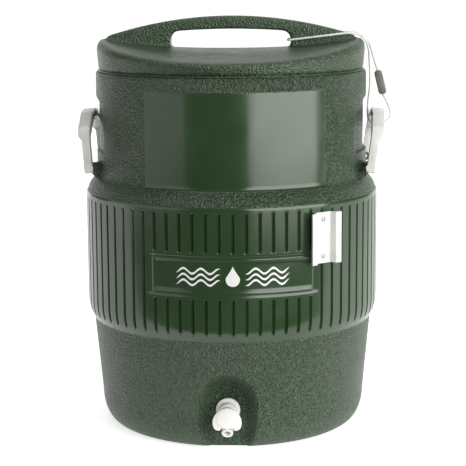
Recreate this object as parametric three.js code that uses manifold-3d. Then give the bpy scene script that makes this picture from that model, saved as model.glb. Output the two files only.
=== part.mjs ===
// A ten-gallon insulated drinks jug: a green outer shell with a ribbed band, a foam-insulated liner, a lid
// with a carrying handle, two side bails, a push-button spigot, a cup-dispenser bracket and a lid tether.
// Millimetres, +Z up. The origin is the centre of the base and the spigot faces -Y.

import * as THREE from 'three';
import { mergeVertices } from 'three/addons/utils/BufferGeometryUtils.js';
import Module from 'manifold-3d';

const wasm = await Module();
wasm.setup();

// ---------- Driving dimensions ----------

const CLEARANCE = 0.3; // between pieces that touch
const PASS = 1; // how far a cutter runs past the face it cuts
const FINE_SIDES = 72; // facets round what shows, one to a groove
const LID_SIDES = 60; // facets round the lid's outside
const COARSE_SIDES = 36; // facets round what is hidden

// Outer shell
const WALL_RADIUS = 174; // upper wall
const RIM_HEIGHT = 456;
const SHELL_WALL = 2.5;
const BASE_TUCK = 2; // the lower wall's foot inside the upper wall's radius
const BASE_EDGE_WIDTH = 20; // the base's rounded edge, an upright quarter of an oval
const BASE_EDGE_HEIGHT = 38;
const LOWER_FLARE = 7; // the lower wall widens by this much up to the band
const BAND_STEP = 14.7; // the band stands out from the upper wall by this much
const BAND_BOTTOM = 138;
const BAND_TOP = 304;
const BAND_FOOT = [[0.65, 9], [1, 27]]; // share of the step outward, rise
const BAND_SHOULDER = [[0, 0], [0.3, 9.5], [0.81, 17], [1, 20]]; // share inward, rise

// Grooves and label panel of the band
const GROOVE_WIDTH = 3.5;
const GROOVE_DEPTH = 3;
const GROOVE_BOTTOM = 148;
const GROOVE_TOP = 297.6;
const LABEL_HALF_ANGLE = 29.6;
const LABEL_BOTTOM = 195.8;
const LABEL_TOP = 245.8;
const LABEL_DEPTH = 0.8;
const LABEL_MARGIN = 3; // between the label and the short grooves over and under it

// Liner and insulation
const LINER_WALL = 2;
const INSULATION = 6.5; // between shell and liner at the rim
const LINER_TAPER = 4.5; // the liner is this much narrower at its floor
const LINER_FLOOR = 12;
const LINER_EDGE = 20;
const FLANGE_THICKNESS = 2.5;
const LEDGE_THICKNESS = 3;
const LEDGE_DROP = 4; // from the rim down to the ledge that carries the liner's flange

// Spigot pocket
const SPIGOT_HEIGHT = 47;
const POCKET_DEPTH = 25; // from the upper wall's radius in to the pocket's flat back
const POCKET_CENTRE = 54; // height of the arch's centre
const POCKET_HALF = 22.5; // half the width of the flat back
const POCKET_SLOPE = 0.72; // the walls open out by this much per millimetre

// Spigot
const BARREL_RADIUS = 9.5;
const BORE_RADIUS = 6;
const GASKET_THICKNESS = 2;
const GASKET_RADIUS = 14.5;
const SPIGOT_FLANGE_RADIUS = 15;
const SPIGOT_FLANGE_THICKNESS = 3.5;
const HEAD_RADIUS = 11;
const HEAD_LENGTH = 13;
const HEAD_WALL = 5;
const NUT_THICKNESS = 6;
const NUT_RADIUS = 16;
const SPOUT_RADIUS = 7;
const SPOUT_BORE = 4.2;
const SPOUT_DROP = 22; // from the barrel's axis down to the centre of the mouth
const SPOUT_REACH = 26; // from the spigot's flange out to the centre of the mouth
const SPOUT_ROOT = [5, 8]; // where the spout leaves: out from the flange, down from the axis
const SPOUT_ROOM = 0.8; // between the button and the spout
const BUTTON_TRAVEL = 4;
const BUTTON_GAP = 16.5; // from the head's face to the paddle's back: the spring's room
const PADDLE_THICKNESS = 2.5;
const PADDLE_HALF_WIDTH = 17.8;
const PADDLE_TOP = 11.5; // over the spigot's axis
const PADDLE_BOTTOM = 16.5; // under the spigot's axis
const PADDLE_SHOULDER = 11; // height of the curve at its top and bottom corners
const PADDLE_CORNER = 7; // width of its bottom corners' curve
const NOTCH_GAP = 1.6; // between the spout and the notch in its bottom edge
const NOTCH_RISE = 4.2;
const PADDLE_DISC_RADIUS = 12;
const PADDLE_DISC_DROP = 2.3;
const PADDLE_DISC_RAISE = 1;
const SKIRT_RADIUS = 9.5;
const SKIRT_WALL = 1.5;
const STEM_RADIUS = 2;
const STEM_BOSS_RADIUS = 4;
const STEM_BOSS_LENGTH = 4.5;
const SEAL_RADIUS = 8.5;
const SEAL_THICKNESS = 2;
const SPRING_RADIUS = 5.6;
const SPRING_WIRE = 0.5;
const SPRING_TURNS = 5;

// Cup-dispenser bracket
const BRACKET_AZIMUTH = 37.5;
const BRACKET_BOTTOM = 231.5;
const BRACKET_HEIGHT = 62.5;
const BRACKET_HALF_WIDTH = 22;
const BRACKET_SEAT_HALF = 12.5; // half the width of the part that lies on the band
const BRACKET_THICKNESS = 2.5;
const BRACKET_FLARE = 7; // how far the wings stand out
const BRACKET_JOG = 3; // how far the step to a wing leans along the band
const SCREW_SPACING = 45.6;
const SCREW_RADIUS = 1.3;
const SCREW_HEAD_RADIUS = 2.8;
const SCREW_HEAD_HEIGHT = 1.6;
const SCREW_LENGTH = 8;

// Bails, their pivot lugs and the pockets behind them
const PIVOT_HEIGHT = 338;
const PIVOT_STANDOFF = 2.5; // the pivot lies this far outside the upper wall's radius
const LUG_OUTSIDE = 61; // the lugs' outer faces either side of the middle
const LUG_THICKNESS = 16;
const LUG_HALF_HEIGHT = 5; // round the pivot
const BAIL_POCKET_BOTTOM = 356;
const ARM_WIDTH = 15;
const ARM_GAP = 1.5; // between a lug and an arm
const ARM_OUTWARD = 6; // the arm's faces either side of the pivot plane
const ARM_INWARD = 4;
const BAIL_RISE = 69; // from the pivot to the top of the arch
const BAIL_DROOP = 15; // how much lower the arch is at its corners
const BAIL_CORNER = 24;
const BAIL_INNER_CORNER = 15;
const GRIP_HEIGHT = 13.5;
const GRIP_OUTWARD = 10.5; // the grip's face outside the pivot plane
const CHANNEL_WALL = 3;
const LEFT_LEAN = 4; // degrees outward at rest
const RIGHT_LEAN = 8; // the tether pulls this bail further out
const PIN_RADIUS = 2.2;
const PIN_DEPTH = 14; // into the lug
const PIN_HEAD_RADIUS = 5.5;
const PIN_HEAD_HEIGHT = 2;
const BAIL_POCKET_DEPTH = 4;
const BAIL_POCKET_HALF_ANGLE = 23;
const BAIL_POCKET_TOP = 418;
const BAIL_POCKET_CHAMFER = 6;

// Lid
const LID_INSET = 2; // the lid's widest radius inside the upper wall's
const LID_TAPER = 2;
const LID_WALL = 3;
const LID_LIP = 2.2; // height of the thin lip at its bottom edge
const LID_CROWN = 28; // the seat's middle over the rim
const LID_EDGE = 9; // radius of the seat's edge, before the seat is bent
const SEAT_RISE = 14; // sides over the middle
const SEAT_FALL = 10.5; // front and back under the middle
const SEAT_RINGS = [0.82, 0.58, 0.32]; // shares of the radius where the seat bends
const PLUG_GAP = 5; // between the plug and the liner's mouth
const PLUG_DEPTH = 26;
const PLUG_CHAMFER = 8;
const PLUG_WALL = 2;

// Lid handle
const HANDLE_RISE = 69; // its top over the rim
const HANDLE_SAG = 25.5; // its ends under its top
const HANDLE_INSET = 12; // its ends inside the lid's edge
const HANDLE_HALF_THICKNESS = 15;
const HANDLE_ROUND = 4;
const OPENING_HALF_LENGTH = 77;
const OPENING_TOP = 52.5; // over the rim, at the middle
const OPENING_END_TOP = 50.2;
const OPENING_CORNER = 13;

// Tether: a braided cord looped round the lid handle and the right bail, closed by a clip
const CORD_DIAMETER = 3;
const CORD_SIDES = 8;
const CORD_STEPS = 64;
const CORD_POINTS = [
  [195.9, 0, 423.6], [201.6, 0, 412.4], [205.4, 0, 401], [203.4, 0, 392], [196.8, 0, 388.4],
  [188.2, 0, 387.6], [181.2, 0, 388.2], [177.4, 0, 392.2], [176.4, 0, 399], [176.4, 0, 408], [177.2, -1, 418],
  [178.4, -2, 428], [179, -3, 443], [178, -4, 466], [176.6, -6, 482], [172.8, -9, 492.5],
  [165.5, -14, 499.6], [153.5, -18.2, 502.6], [141, -19.6, 502], [124, -19.4, 499.9], [99, -18.8, 497],
  [80, -17.6, 494.8], [74.8, -17.2, 494.2], [73.9, -11, 494], [73.9, 11, 494], [74.8, 17.2, 494.2],
  [80, 17.6, 494.8],
  [99, 18.8, 497], [124, 19.4, 499.9], [141, 19.6, 502], [153.5, 18.2, 502.6], [165.5, 14, 500],
  [173.5, 9, 494], [179, 5, 486], [183.6, 2, 470], [188.5, 0, 454.6],
];
const CLIP_WIDTH = 10;
const CLIP_DEPTH = 8;
const CLIP_CHAMFER = 2.5;

// ---------- Colours ----------

const green = new THREE.MeshStandardMaterial({ color: 0x46583f, roughness: 0.45, metalness: 0 });
const white = new THREE.MeshStandardMaterial({ color: 0xe4e3e0, roughness: 0.4, metalness: 0 });
const linerWhite = new THREE.MeshStandardMaterial({ color: 0xeeeeea, roughness: 0.35, metalness: 0 });
const foamCream = new THREE.MeshStandardMaterial({ color: 0xe8dfb8, roughness: 0.9, metalness: 0 });
const rubberBlack = new THREE.MeshStandardMaterial({ color: 0x202020, roughness: 0.8, metalness: 0 });
const springSteel = new THREE.MeshStandardMaterial({ color: 0xb8b8b8, roughness: 0.3, metalness: 1 });
const screwSteel = new THREE.MeshStandardMaterial({ color: 0xc9c9c6, roughness: 0.35, metalness: 0.9 });
const cordWhite = new THREE.MeshStandardMaterial({ color: 0xe6e6e2, roughness: 0.85, metalness: 0 });
const clipGrey = new THREE.MeshStandardMaterial({ color: 0x6a6965, roughness: 0.5, metalness: 0 });

// ---------- Shape helpers ----------

const point = (x, y) => new THREE.Vector2(x, y);
const toRadians = THREE.MathUtils.degToRad;

// Makes a closed manifold solid of any closed geometry, faces outward.
function solid(geometry) {
  const bare = geometry.clone();
  bare.deleteAttribute('normal');
  bare.deleteAttribute('uv');
  const merged = mergeVertices(bare, 1e-4);
  const corners = merged.index.array;
  const position = merged.attributes.position;
  const [a, b, c] = [new THREE.Vector3(), new THREE.Vector3(), new THREE.Vector3()];
  const kept = [];
  let volume = 0;
  for (let i = 0; i < corners.length; i += 3) {
    const [p, q, r] = corners.slice(i, i + 3);
    if (p === q || q === r || r === p) continue;
    kept.push(p, q, r);
    a.fromBufferAttribute(position, p);
    b.fromBufferAttribute(position, q);
    c.fromBufferAttribute(position, r);
    volume += a.dot(b.cross(c));
  }
  if (volume < 0) kept.reverse();
  const shape = { numProp: 3, vertProperties: new Float32Array(position.array), triVerts: new Uint32Array(kept) };
  return new wasm.Manifold(new wasm.Mesh(shape));
}

// Makes a named mesh of a manifold solid.
function mesh(name, body, material) {
  const shape = body.getMesh();
  const geometry = new THREE.BufferGeometry();
  geometry.setAttribute('position', new THREE.BufferAttribute(shape.vertProperties, 3));
  geometry.setIndex(new THREE.BufferAttribute(shape.triVerts, 1));
  geometry.computeVertexNormals();
  const piece = new THREE.Mesh(geometry, material);
  piece.name = name;
  return piece;
}

// Turns a profile of (radius, height) points about Z; azimuth 0 is -Y and 90 is +X.
function turned(profile, sides) {
  return new THREE.LatheGeometry(profile, sides).rotateX(Math.PI / 2);
}

// Points of an arc about (x, y), angles in degrees.
function arc(x, y, radius, from, to, steps) {
  return Array.from({ length: steps + 1 }, (_, i) => {
    const angle = toRadians(from + ((to - from) * i) / steps);
    return point(x + radius * Math.cos(angle), y + radius * Math.sin(angle));
  });
}

// A round bar along +Y from y = from to y = to at height z, optionally hollow.
function rod(radius, from, to, z = 0, sides = 20, hole = 0) {
  const bar = (r, start, end) =>
    new THREE.CylinderGeometry(r, r, end - start, sides).translate(0, (start + end) / 2, z);
  const whole = solid(bar(radius, from, to));
  return hole > 0 ? whole.subtract(solid(bar(hole, from - PASS, to + PASS))) : whole;
}

// An upright round bar.
function rodUp(radius, bottom, top, sides) {
  const bar = new THREE.CylinderGeometry(radius, radius, top - bottom, sides).rotateX(Math.PI / 2);
  return solid(bar.translate(0, 0, (bottom + top) / 2));
}

// Extrudes an outline drawn in the XZ plane along Y, centred on y = 0.
function slabAlongY(shape, thickness, round = 0) {
  const options = { depth: thickness - 2 * round, curveSegments: 6, bevelEnabled: round > 0 };
  Object.assign(options, { bevelThickness: round, bevelSize: round, bevelOffset: -round, bevelSegments: 2 });
  const slab = new THREE.ExtrudeGeometry(shape, options);
  return slab.translate(0, 0, -options.depth / 2).rotateX(Math.PI / 2);
}

// Extrudes an outline drawn in the XY plane up Z.
function slabAlongZ(shape, bottom, top) {
  const options = { depth: top - bottom, bevelEnabled: false };
  return new THREE.ExtrudeGeometry(shape, options).translate(0, 0, bottom);
}

// The part of a ring that lies within an angle either side of an azimuth.
function ringSector(profile, azimuth, halfAngle, sides) {
  const ring = solid(turned(profile, sides));
  const reach = 2 * WALL_RADIUS;
  const wedge = new THREE.Shape([
    point(0, 0),
    point(reach * Math.tan(toRadians(-halfAngle)), -reach),
    point(reach * Math.tan(toRadians(halfAngle)), -reach),
  ]);
  const prism = slabAlongZ(wedge, -reach, 2 * reach).rotateZ(toRadians(azimuth));
  return ring.intersect(solid(prism));
}

const union = (pieces) => pieces.reduce((whole, piece) => whole.add(piece));

// ---------- Body: shell, foam and liner ----------

const BAND_RADIUS = WALL_RADIUS + BAND_STEP;
const PIVOT_RADIUS = WALL_RADIUS + PIVOT_STANDOFF;
const BASE_INNER = WALL_RADIUS - BASE_TUCK - BASE_EDGE_WIDTH; // where the flat base ends
const LEDGE_TOP = RIM_HEIGHT - LEDGE_DROP;
const LEDGE_BOTTOM = LEDGE_TOP - LEDGE_THICKNESS;
const LINER_RADIUS = WALL_RADIUS - SHELL_WALL - INSULATION;
const POCKET_BACK = WALL_RADIUS - POCKET_DEPTH;
const LINER_FLAT = POCKET_BACK - SHELL_WALL - INSULATION;

// The body's outline from its axis up to a height, moved inward. Behind the band it stays clear of the grooves.
function bodyProfile(inset, top) {
  const wall = WALL_RADIUS - inset;
  const foot = WALL_RADIUS + LOWER_FLARE - inset;
  const band = BAND_RADIUS - inset - (inset > 0 ? GROOVE_DEPTH : 0);
  const footPoints = BAND_FOOT.map(([share, rise]) => point(foot + share * (band - foot), BAND_BOTTOM + inset + rise));
  const shoulder = BAND_SHOULDER.map(([share, rise]) => point(band - share * (band - wall), BAND_TOP - inset + rise));
  const [wide, high] = [BASE_EDGE_WIDTH - inset, BASE_EDGE_HEIGHT - inset];
  const edge = arc(0, 0, 1, -90, 0, 4).map(({ x, y }) => point(BASE_INNER + wide * x, BASE_EDGE_HEIGHT + high * y));
  return [point(0, inset), ...edge, point(foot, BAND_BOTTOM + inset), ...footPoints, ...shoulder, point(wall, top)];
}

// The liner's outer face from its axis up to a height, moved outward.
function linerProfile(offset, top) {
  const floorRadius = LINER_RADIUS - LINER_TAPER;
  const edge = arc(floorRadius - LINER_EDGE, LINER_FLOOR + LINER_EDGE, LINER_EDGE + offset, -90, 0, 2);
  return [point(0, LINER_FLOOR - offset), ...edge, point(LINER_RADIUS + offset, top)];
}

// What the spigot's pocket takes out of the body, grown by a wall's thickness.
function spigotPocket(grow) {
  const back = POCKET_BACK - grow;
  const front = BAND_RADIUS + PASS;
  const half = POCKET_HALF + grow * (Math.hypot(1, POCKET_SLOPE) - POCKET_SLOPE);
  const wide = half + POCKET_SLOPE * (front - back);
  const cone = new THREE.CylinderGeometry(half, wide, front - back, COARSE_SIDES);
  cone.translate(0, -(front + back) / 2, POCKET_CENTRE);
  const foot = new THREE.Shape([point(-half, -back), point(-wide, -front), point(wide, -front), point(half, -back)]);
  return solid(cone).add(solid(slabAlongZ(foot, -PASS - SHELL_WALL, POCKET_CENTRE)));
}

// What flattens the liner's front behind the pocket, down from a slope over it.
function linerFlat(offset) {
  const face = LINER_FLAT + offset;
  const reach = LINER_RADIUS - face + 10;
  const top = POCKET_CENTRE + POCKET_HALF + reach;
  const side = new THREE.Shape([
    point(-face, -reach), point(-face, top), point(-face - reach, top + reach), point(-face - reach, -reach),
  ]);
  const slab = new THREE.ExtrudeGeometry(side, { depth: 2 * LINER_RADIUS, bevelEnabled: false });
  return solid(slab.translate(0, 0, -LINER_RADIUS).rotateZ(Math.PI / 2).rotateY(Math.PI / 2));
}

// The pocket behind a bail, on the side that the azimuth gives, grown by a wall's thickness.
function bailPocket(azimuth, grow) {
  const floor = WALL_RADIUS - BAIL_POCKET_DEPTH - grow;
  const outside = BAND_RADIUS + 10;
  const bottom = BAIL_POCKET_BOTTOM - grow;
  const top = BAIL_POCKET_TOP + grow;
  const profile = [
    point(floor, bottom), point(outside, bottom), point(outside, top + BAIL_POCKET_CHAMFER + outside - WALL_RADIUS),
    point(WALL_RADIUS, top + BAIL_POCKET_CHAMFER), point(floor, top), point(floor, bottom),
  ];
  return ringSector(profile, azimuth, BAIL_POCKET_HALF_ANGLE + grow / 3, FINE_SIDES);
}

// The lugs that carry the bails' pins, two on each side, rooted in the wall between the bail's arms.
function pivotLugs() {
  const inner = LUG_OUTSIDE - LUG_THICKNESS;
  const root = Math.sqrt(WALL_RADIUS ** 2 - LUG_OUTSIDE ** 2) - SHELL_WALL;
  const outline = [
    point(root, PIVOT_HEIGHT - LUG_HALF_HEIGHT - (PIVOT_RADIUS - root)),
    ...arc(PIVOT_RADIUS, PIVOT_HEIGHT, LUG_HALF_HEIGHT, -60, 90, 5), point(root, PIVOT_HEIGHT + LUG_HALF_HEIGHT),
  ];
  const lugs = [1, -1].flatMap((side) => [1, -1].map((end) => {
    const shape = new THREE.Shape(outline.map((corner) => point(side * corner.x, corner.y)));
    return solid(slabAlongY(shape, LUG_THICKNESS)).translate([0, (end * (LUG_OUTSIDE + inner)) / 2, 0]);
  }));
  return union(lugs);
}

function pinHoles() {
  const reach = LUG_OUTSIDE - PIN_DEPTH - CLEARANCE;
  const holes = [1, -1].flatMap((side) => [1, -1].map((end) => {
    const [from, to] = end > 0 ? [reach, LUG_OUTSIDE + PASS] : [-LUG_OUTSIDE - PASS, -reach];
    return rod(PIN_RADIUS + CLEARANCE, from, to, PIVOT_HEIGHT, 16).translate([side * PIVOT_RADIUS, 0, 0]);
  }));
  return union(holes);
}

// One groove of the band, cut square into the facet at an azimuth.
function groove(azimuth, bottom, top) {
  const outer = BAND_RADIUS + PASS;
  const depth = GROOVE_DEPTH + PASS;
  const box = new THREE.BoxGeometry(GROOVE_WIDTH, depth, top - bottom);
  box.translate(0, -(outer - depth / 2), (top + bottom) / 2);
  return solid(box.rotateZ(toRadians(azimuth)));
}

// All the grooves: one to each facet, and two short ones where the label lies between.
function grooves() {
  const pitch = 360 / FINE_SIDES;
  const cuts = [];
  for (let i = 0; i < FINE_SIDES; i += 1) {
    const azimuth = -180 + pitch * (i + 0.5);
    if (Math.abs(azimuth) > LABEL_HALF_ANGLE) {
      cuts.push(groove(azimuth, GROOVE_BOTTOM, GROOVE_TOP));
    } else {
      cuts.push(groove(azimuth, GROOVE_BOTTOM, LABEL_BOTTOM - LABEL_MARGIN));
      cuts.push(groove(azimuth, LABEL_TOP + LABEL_MARGIN, GROOVE_TOP));
    }
  }
  return union(cuts);
}

// The shallow panel in the middle of the band.
function labelRecess() {
  const floor = BAND_RADIUS - LABEL_DEPTH;
  const outside = BAND_RADIUS + PASS;
  const profile = [
    point(floor, LABEL_BOTTOM), point(outside, LABEL_BOTTOM), point(outside, LABEL_TOP), point(floor, LABEL_TOP),
    point(floor, LABEL_BOTTOM),
  ];
  return ringSector(profile, 0, LABEL_HALF_ANGLE, FINE_SIDES);
}

function spigotHole() {
  return rod(BARREL_RADIUS + CLEARANCE, -WALL_RADIUS, -LINER_FLAT + INSULATION, SPIGOT_HEIGHT);
}

function outerShell() {
  const rimEdge = [
    point(WALL_RADIUS, RIM_HEIGHT - 3), point(WALL_RADIUS - 1, RIM_HEIGHT - 0.8), point(WALL_RADIUS - 2, RIM_HEIGHT),
    point(0, RIM_HEIGHT),
  ];
  const outside = solid(turned([...bodyProfile(0, RIM_HEIGHT - 3).slice(0, -1), ...rimEdge], FINE_SIDES));
  const space = bodyProfile(SHELL_WALL, LEDGE_BOTTOM - INSULATION);
  const collar = LINER_RADIUS + CLEARANCE;
  const inside = turned([...space, point(collar, LEDGE_BOTTOM), point(0, LEDGE_BOTTOM)], COARSE_SIDES);
  const sides = [90, -90];
  const cavity = solid(inside)
    .subtract(spigotPocket(SHELL_WALL))
    .subtract(union(sides.map((azimuth) => bailPocket(azimuth, SHELL_WALL))));
  const throat = rodUp(collar, LEDGE_BOTTOM - PASS, RIM_HEIGHT + PASS, COARSE_SIDES);
  const seat = rodUp(WALL_RADIUS - SHELL_WALL, LEDGE_TOP, RIM_HEIGHT + PASS, COARSE_SIDES);
  const skin = outside
    .subtract(spigotPocket(0))
    .subtract(union(sides.map((azimuth) => bailPocket(azimuth, 0))))
    .add(pivotLugs())
    .subtract(grooves())
    .subtract(labelRecess());
  return skin
    .subtract(cavity.add(throat).add(seat))
    .subtract(pinHoles())
    .subtract(spigotHole())
    .subtract(screwHoles());
}

function foamInsulation() {
  const top = LEDGE_BOTTOM - INSULATION - CLEARANCE;
  const space = turned([...bodyProfile(SHELL_WALL + CLEARANCE, top), point(0, top)], COARSE_SIDES);
  const liner = turned([...linerProfile(CLEARANCE, top + PASS), point(0, top + PASS)], COARSE_SIDES);
  const grown = SHELL_WALL + CLEARANCE;
  return solid(space)
    .subtract(spigotPocket(grown))
    .subtract(union([90, -90].map((azimuth) => bailPocket(azimuth, grown))))
    .subtract(solid(liner).subtract(linerFlat(CLEARANCE)))
    .subtract(spigotHole())
    .subtract(screwHoles());
}

function innerLiner() {
  const flangeBottom = LEDGE_TOP + CLEARANCE;
  const flangeTop = flangeBottom + FLANGE_THICKNESS;
  const flangeRadius = WALL_RADIUS - SHELL_WALL - CLEARANCE;
  const outline = [
    ...linerProfile(0, flangeBottom), point(flangeRadius, flangeBottom), point(flangeRadius, flangeTop),
    point(0, flangeTop),
  ];
  const space = [...linerProfile(-LINER_WALL, flangeTop + PASS), point(0, flangeTop + PASS)];
  const outside = solid(turned(outline, COARSE_SIDES)).subtract(linerFlat(0));
  const inside = solid(turned(space, COARSE_SIDES)).subtract(linerFlat(-LINER_WALL));
  return outside.subtract(inside).subtract(spigotHole());
}

// ---------- Spigot ----------

const FLANGE_BACK = -(POCKET_BACK + 2 * CLEARANCE + GASKET_THICKNESS);
const FLANGE_FRONT = FLANGE_BACK - SPIGOT_FLANGE_THICKNESS;
const HEAD_FRONT = FLANGE_FRONT - HEAD_LENGTH;
const INNER_GASKET_FRONT = -(LINER_FLAT - LINER_WALL - CLEARANCE);
const NUT_FRONT = INNER_GASKET_FRONT + GASKET_THICKNESS + CLEARANCE;
const BARREL_END = NUT_FRONT + NUT_THICKNESS + 2;
const PADDLE_BACK = HEAD_FRONT - BUTTON_GAP;

// The spout from the head down to its mouth, or its bore when it runs past the mouth.
function spout(radius, past) {
  const [out, down] = SPOUT_ROOT;
  const root = new THREE.Vector3(0, FLANGE_FRONT - out, SPIGOT_HEIGHT - down);
  const mouth = new THREE.Vector3(0, FLANGE_FRONT - SPOUT_REACH, SPIGOT_HEIGHT - SPOUT_DROP);
  const along = mouth.clone().sub(root);
  const length = along.length() + past;
  const turn = new THREE.Quaternion().setFromUnitVectors(new THREE.Vector3(0, 1, 0), along.normalize());
  const bar = new THREE.CylinderGeometry(radius, radius, length, 20);
  const middle = root.clone().addScaledVector(along, length / 2);
  return solid(bar.applyQuaternion(turn).translate(middle.x, middle.y, middle.z));
}

function spigotBody() {
  const bore = rod(BORE_RADIUS, HEAD_FRONT + HEAD_WALL, BARREL_END + PASS, SPIGOT_HEIGHT);
  const stemHole = rod(STEM_RADIUS + CLEARANCE, HEAD_FRONT - PASS, BARREL_END, SPIGOT_HEIGHT, 16);
  return rod(SPIGOT_FLANGE_RADIUS, FLANGE_FRONT, FLANGE_BACK, SPIGOT_HEIGHT, 24)
    .add(rod(HEAD_RADIUS, HEAD_FRONT, FLANGE_FRONT + PASS, SPIGOT_HEIGHT, 24))
    .add(rod(BARREL_RADIUS, FLANGE_BACK - PASS, BARREL_END, SPIGOT_HEIGHT))
    .add(spout(SPOUT_RADIUS, 0))
    .subtract(bore)
    .subtract(stemHole)
    .subtract(spout(SPOUT_BORE, PASS));
}

function gasket(front) {
  return rod(GASKET_RADIUS, front, front + GASKET_THICKNESS, SPIGOT_HEIGHT, 20, BARREL_RADIUS + CLEARANCE);
}

function lockNut() {
  return rod(NUT_RADIUS, NUT_FRONT, NUT_FRONT + NUT_THICKNESS, SPIGOT_HEIGHT, 6)
    .subtract(rod(BARREL_RADIUS + CLEARANCE, NUT_FRONT - PASS, NUT_FRONT + NUT_THICKNESS + PASS, SPIGOT_HEIGHT));
}

// The paddle's shield outline, round the spigot's axis, with a notch over the spout.
function paddleOutline() {
  const [half, top, bottom] = [PADDLE_HALF_WIDTH, PADDLE_TOP, -PADDLE_BOTTOM];
  const notch = SPOUT_RADIUS + NOTCH_GAP;
  const notchTop = bottom + NOTCH_RISE;
  const shape = new THREE.Shape();
  shape.moveTo(0, top);
  shape.bezierCurveTo(half * 0.62, top, half, top - PADDLE_SHOULDER, half, bottom + PADDLE_SHOULDER);
  shape.quadraticCurveTo(half, bottom, half - PADDLE_CORNER, bottom);
  shape.lineTo(notch, bottom);
  shape.quadraticCurveTo(notch, notchTop, 0, notchTop);
  shape.quadraticCurveTo(-notch, notchTop, -notch, bottom);
  shape.lineTo(PADDLE_CORNER - half, bottom);
  shape.quadraticCurveTo(-half, bottom, -half, bottom + PADDLE_SHOULDER);
  shape.bezierCurveTo(-half, top - PADDLE_SHOULDER, -half * 0.62, top, 0, top);
  return shape;
}

function pushButton() {
  const face = PADDLE_BACK - PADDLE_THICKNESS;
  const paddle = slabAlongY(paddleOutline(), PADDLE_THICKNESS, 0.8);
  const skirtEnd = HEAD_FRONT - BUTTON_TRAVEL - CLEARANCE;
  const skirtInside = SKIRT_RADIUS - SKIRT_WALL;
  const bossInside = STEM_RADIUS + CLEARANCE;
  const bossEnd = PADDLE_BACK + STEM_BOSS_LENGTH;
  const disc = rod(PADDLE_DISC_RADIUS, face - PADDLE_DISC_RAISE, PADDLE_BACK, -PADDLE_DISC_DROP + SPIGOT_HEIGHT, 24);
  const skirt = rod(SKIRT_RADIUS, PADDLE_BACK, skirtEnd, SPIGOT_HEIGHT, 20, skirtInside)
    .add(rod(SKIRT_RADIUS, face + PASS, PADDLE_BACK, SPIGOT_HEIGHT));
  const boss = rod(STEM_BOSS_RADIUS, PADDLE_BACK, bossEnd, SPIGOT_HEIGHT, 16, bossInside);
  const plate = solid(paddle.translate(0, (face + PADDLE_BACK) / 2, SPIGOT_HEIGHT));
  const spoutRoom = [0, 0.5, 1].map((share) =>
    spout(SPOUT_RADIUS + SPOUT_ROOM, SPOUT_RADIUS).translate([0, -share * BUTTON_TRAVEL, 0]));
  return plate.add(disc).add(skirt).add(boss).subtract(union(spoutRoom));
}

function valveStem() {
  const sealBack = BARREL_END + CLEARANCE + SEAL_THICKNESS;
  const head = rod(2 * STEM_RADIUS, sealBack + CLEARANCE, sealBack + CLEARANCE + 2, SPIGOT_HEIGHT, 16);
  return rod(STEM_RADIUS, PADDLE_BACK + CLEARANCE, sealBack + 2, SPIGOT_HEIGHT, 16).add(head);
}

function valveSeal() {
  const front = BARREL_END + CLEARANCE;
  return rod(SEAL_RADIUS, front, front + SEAL_THICKNESS, SPIGOT_HEIGHT, 20, STEM_RADIUS + CLEARANCE);
}

class Helix extends THREE.Curve {
  constructor(radius, from, to, turns, z) {
    super();
    Object.assign(this, { radius, from, to, turns, z });
  }

  getPoint(t, target = new THREE.Vector3()) {
    const angle = 2 * Math.PI * this.turns * t;
    const y = this.from + (this.to - this.from) * t;
    return target.set(this.radius * Math.cos(angle), y, this.z + this.radius * Math.sin(angle));
  }
}

// A round section swept along a curve.
function swept(curve, radius, sides, steps) {
  const section = new THREE.Shape(arc(0, 0, radius, 0, 360, sides).slice(0, -1));
  return solid(new THREE.ExtrudeGeometry(section, { steps, bevelEnabled: false, extrudePath: curve }));
}

function returnSpring() {
  const end = SPRING_WIRE + CLEARANCE;
  const coil = new Helix(SPRING_RADIUS, HEAD_FRONT - end, PADDLE_BACK + end, SPRING_TURNS, SPIGOT_HEIGHT);
  return swept(coil, SPRING_WIRE, 5, 8 * SPRING_TURNS);
}

// ---------- Cup-dispenser bracket ----------

// The bracket's section: x along the band, y outward from it.
function bracketSection() {
  const [seat, end, t, flare] = [BRACKET_SEAT_HALF, BRACKET_HALF_WIDTH, BRACKET_THICKNESS, BRACKET_FLARE];
  const wing = seat + BRACKET_JOG;
  const right = [point(seat, 0), point(wing, flare), point(end, flare + 1), point(end, flare + 1 + t)];
  right.push(point(wing - 0.6 * t, flare + t), point(seat - 0.6 * t, t));
  const left = right.map((corner) => point(-corner.x, corner.y)).reverse();
  return new THREE.Shape([...right, ...left]);
}

const SCREW_HEIGHTS = [1, -1].map((end) => BRACKET_BOTTOM + (BRACKET_HEIGHT + end * SCREW_SPACING) / 2);
const BRACKET_SEAT = BAND_RADIUS + CLEARANCE;

// Puts a piece that is built outward along -Y at the bracket's azimuth.
const atBracket = (piece) => piece.rotate([0, 0, BRACKET_AZIMUTH]);

function screwHoles() {
  const reach = SCREW_LENGTH + PASS;
  const hole = (z) => rod(SCREW_RADIUS + CLEARANCE, -BRACKET_SEAT - reach, -BRACKET_SEAT + reach, z, 12);
  const holes = SCREW_HEIGHTS.map(hole);
  return atBracket(union(holes));
}

function cupBracket() {
  const plate = slabAlongZ(bracketSection(), BRACKET_BOTTOM, BRACKET_BOTTOM + BRACKET_HEIGHT);
  return atBracket(solid(plate.rotateZ(Math.PI).translate(0, -BRACKET_SEAT, 0))).subtract(screwHoles());
}

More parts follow.
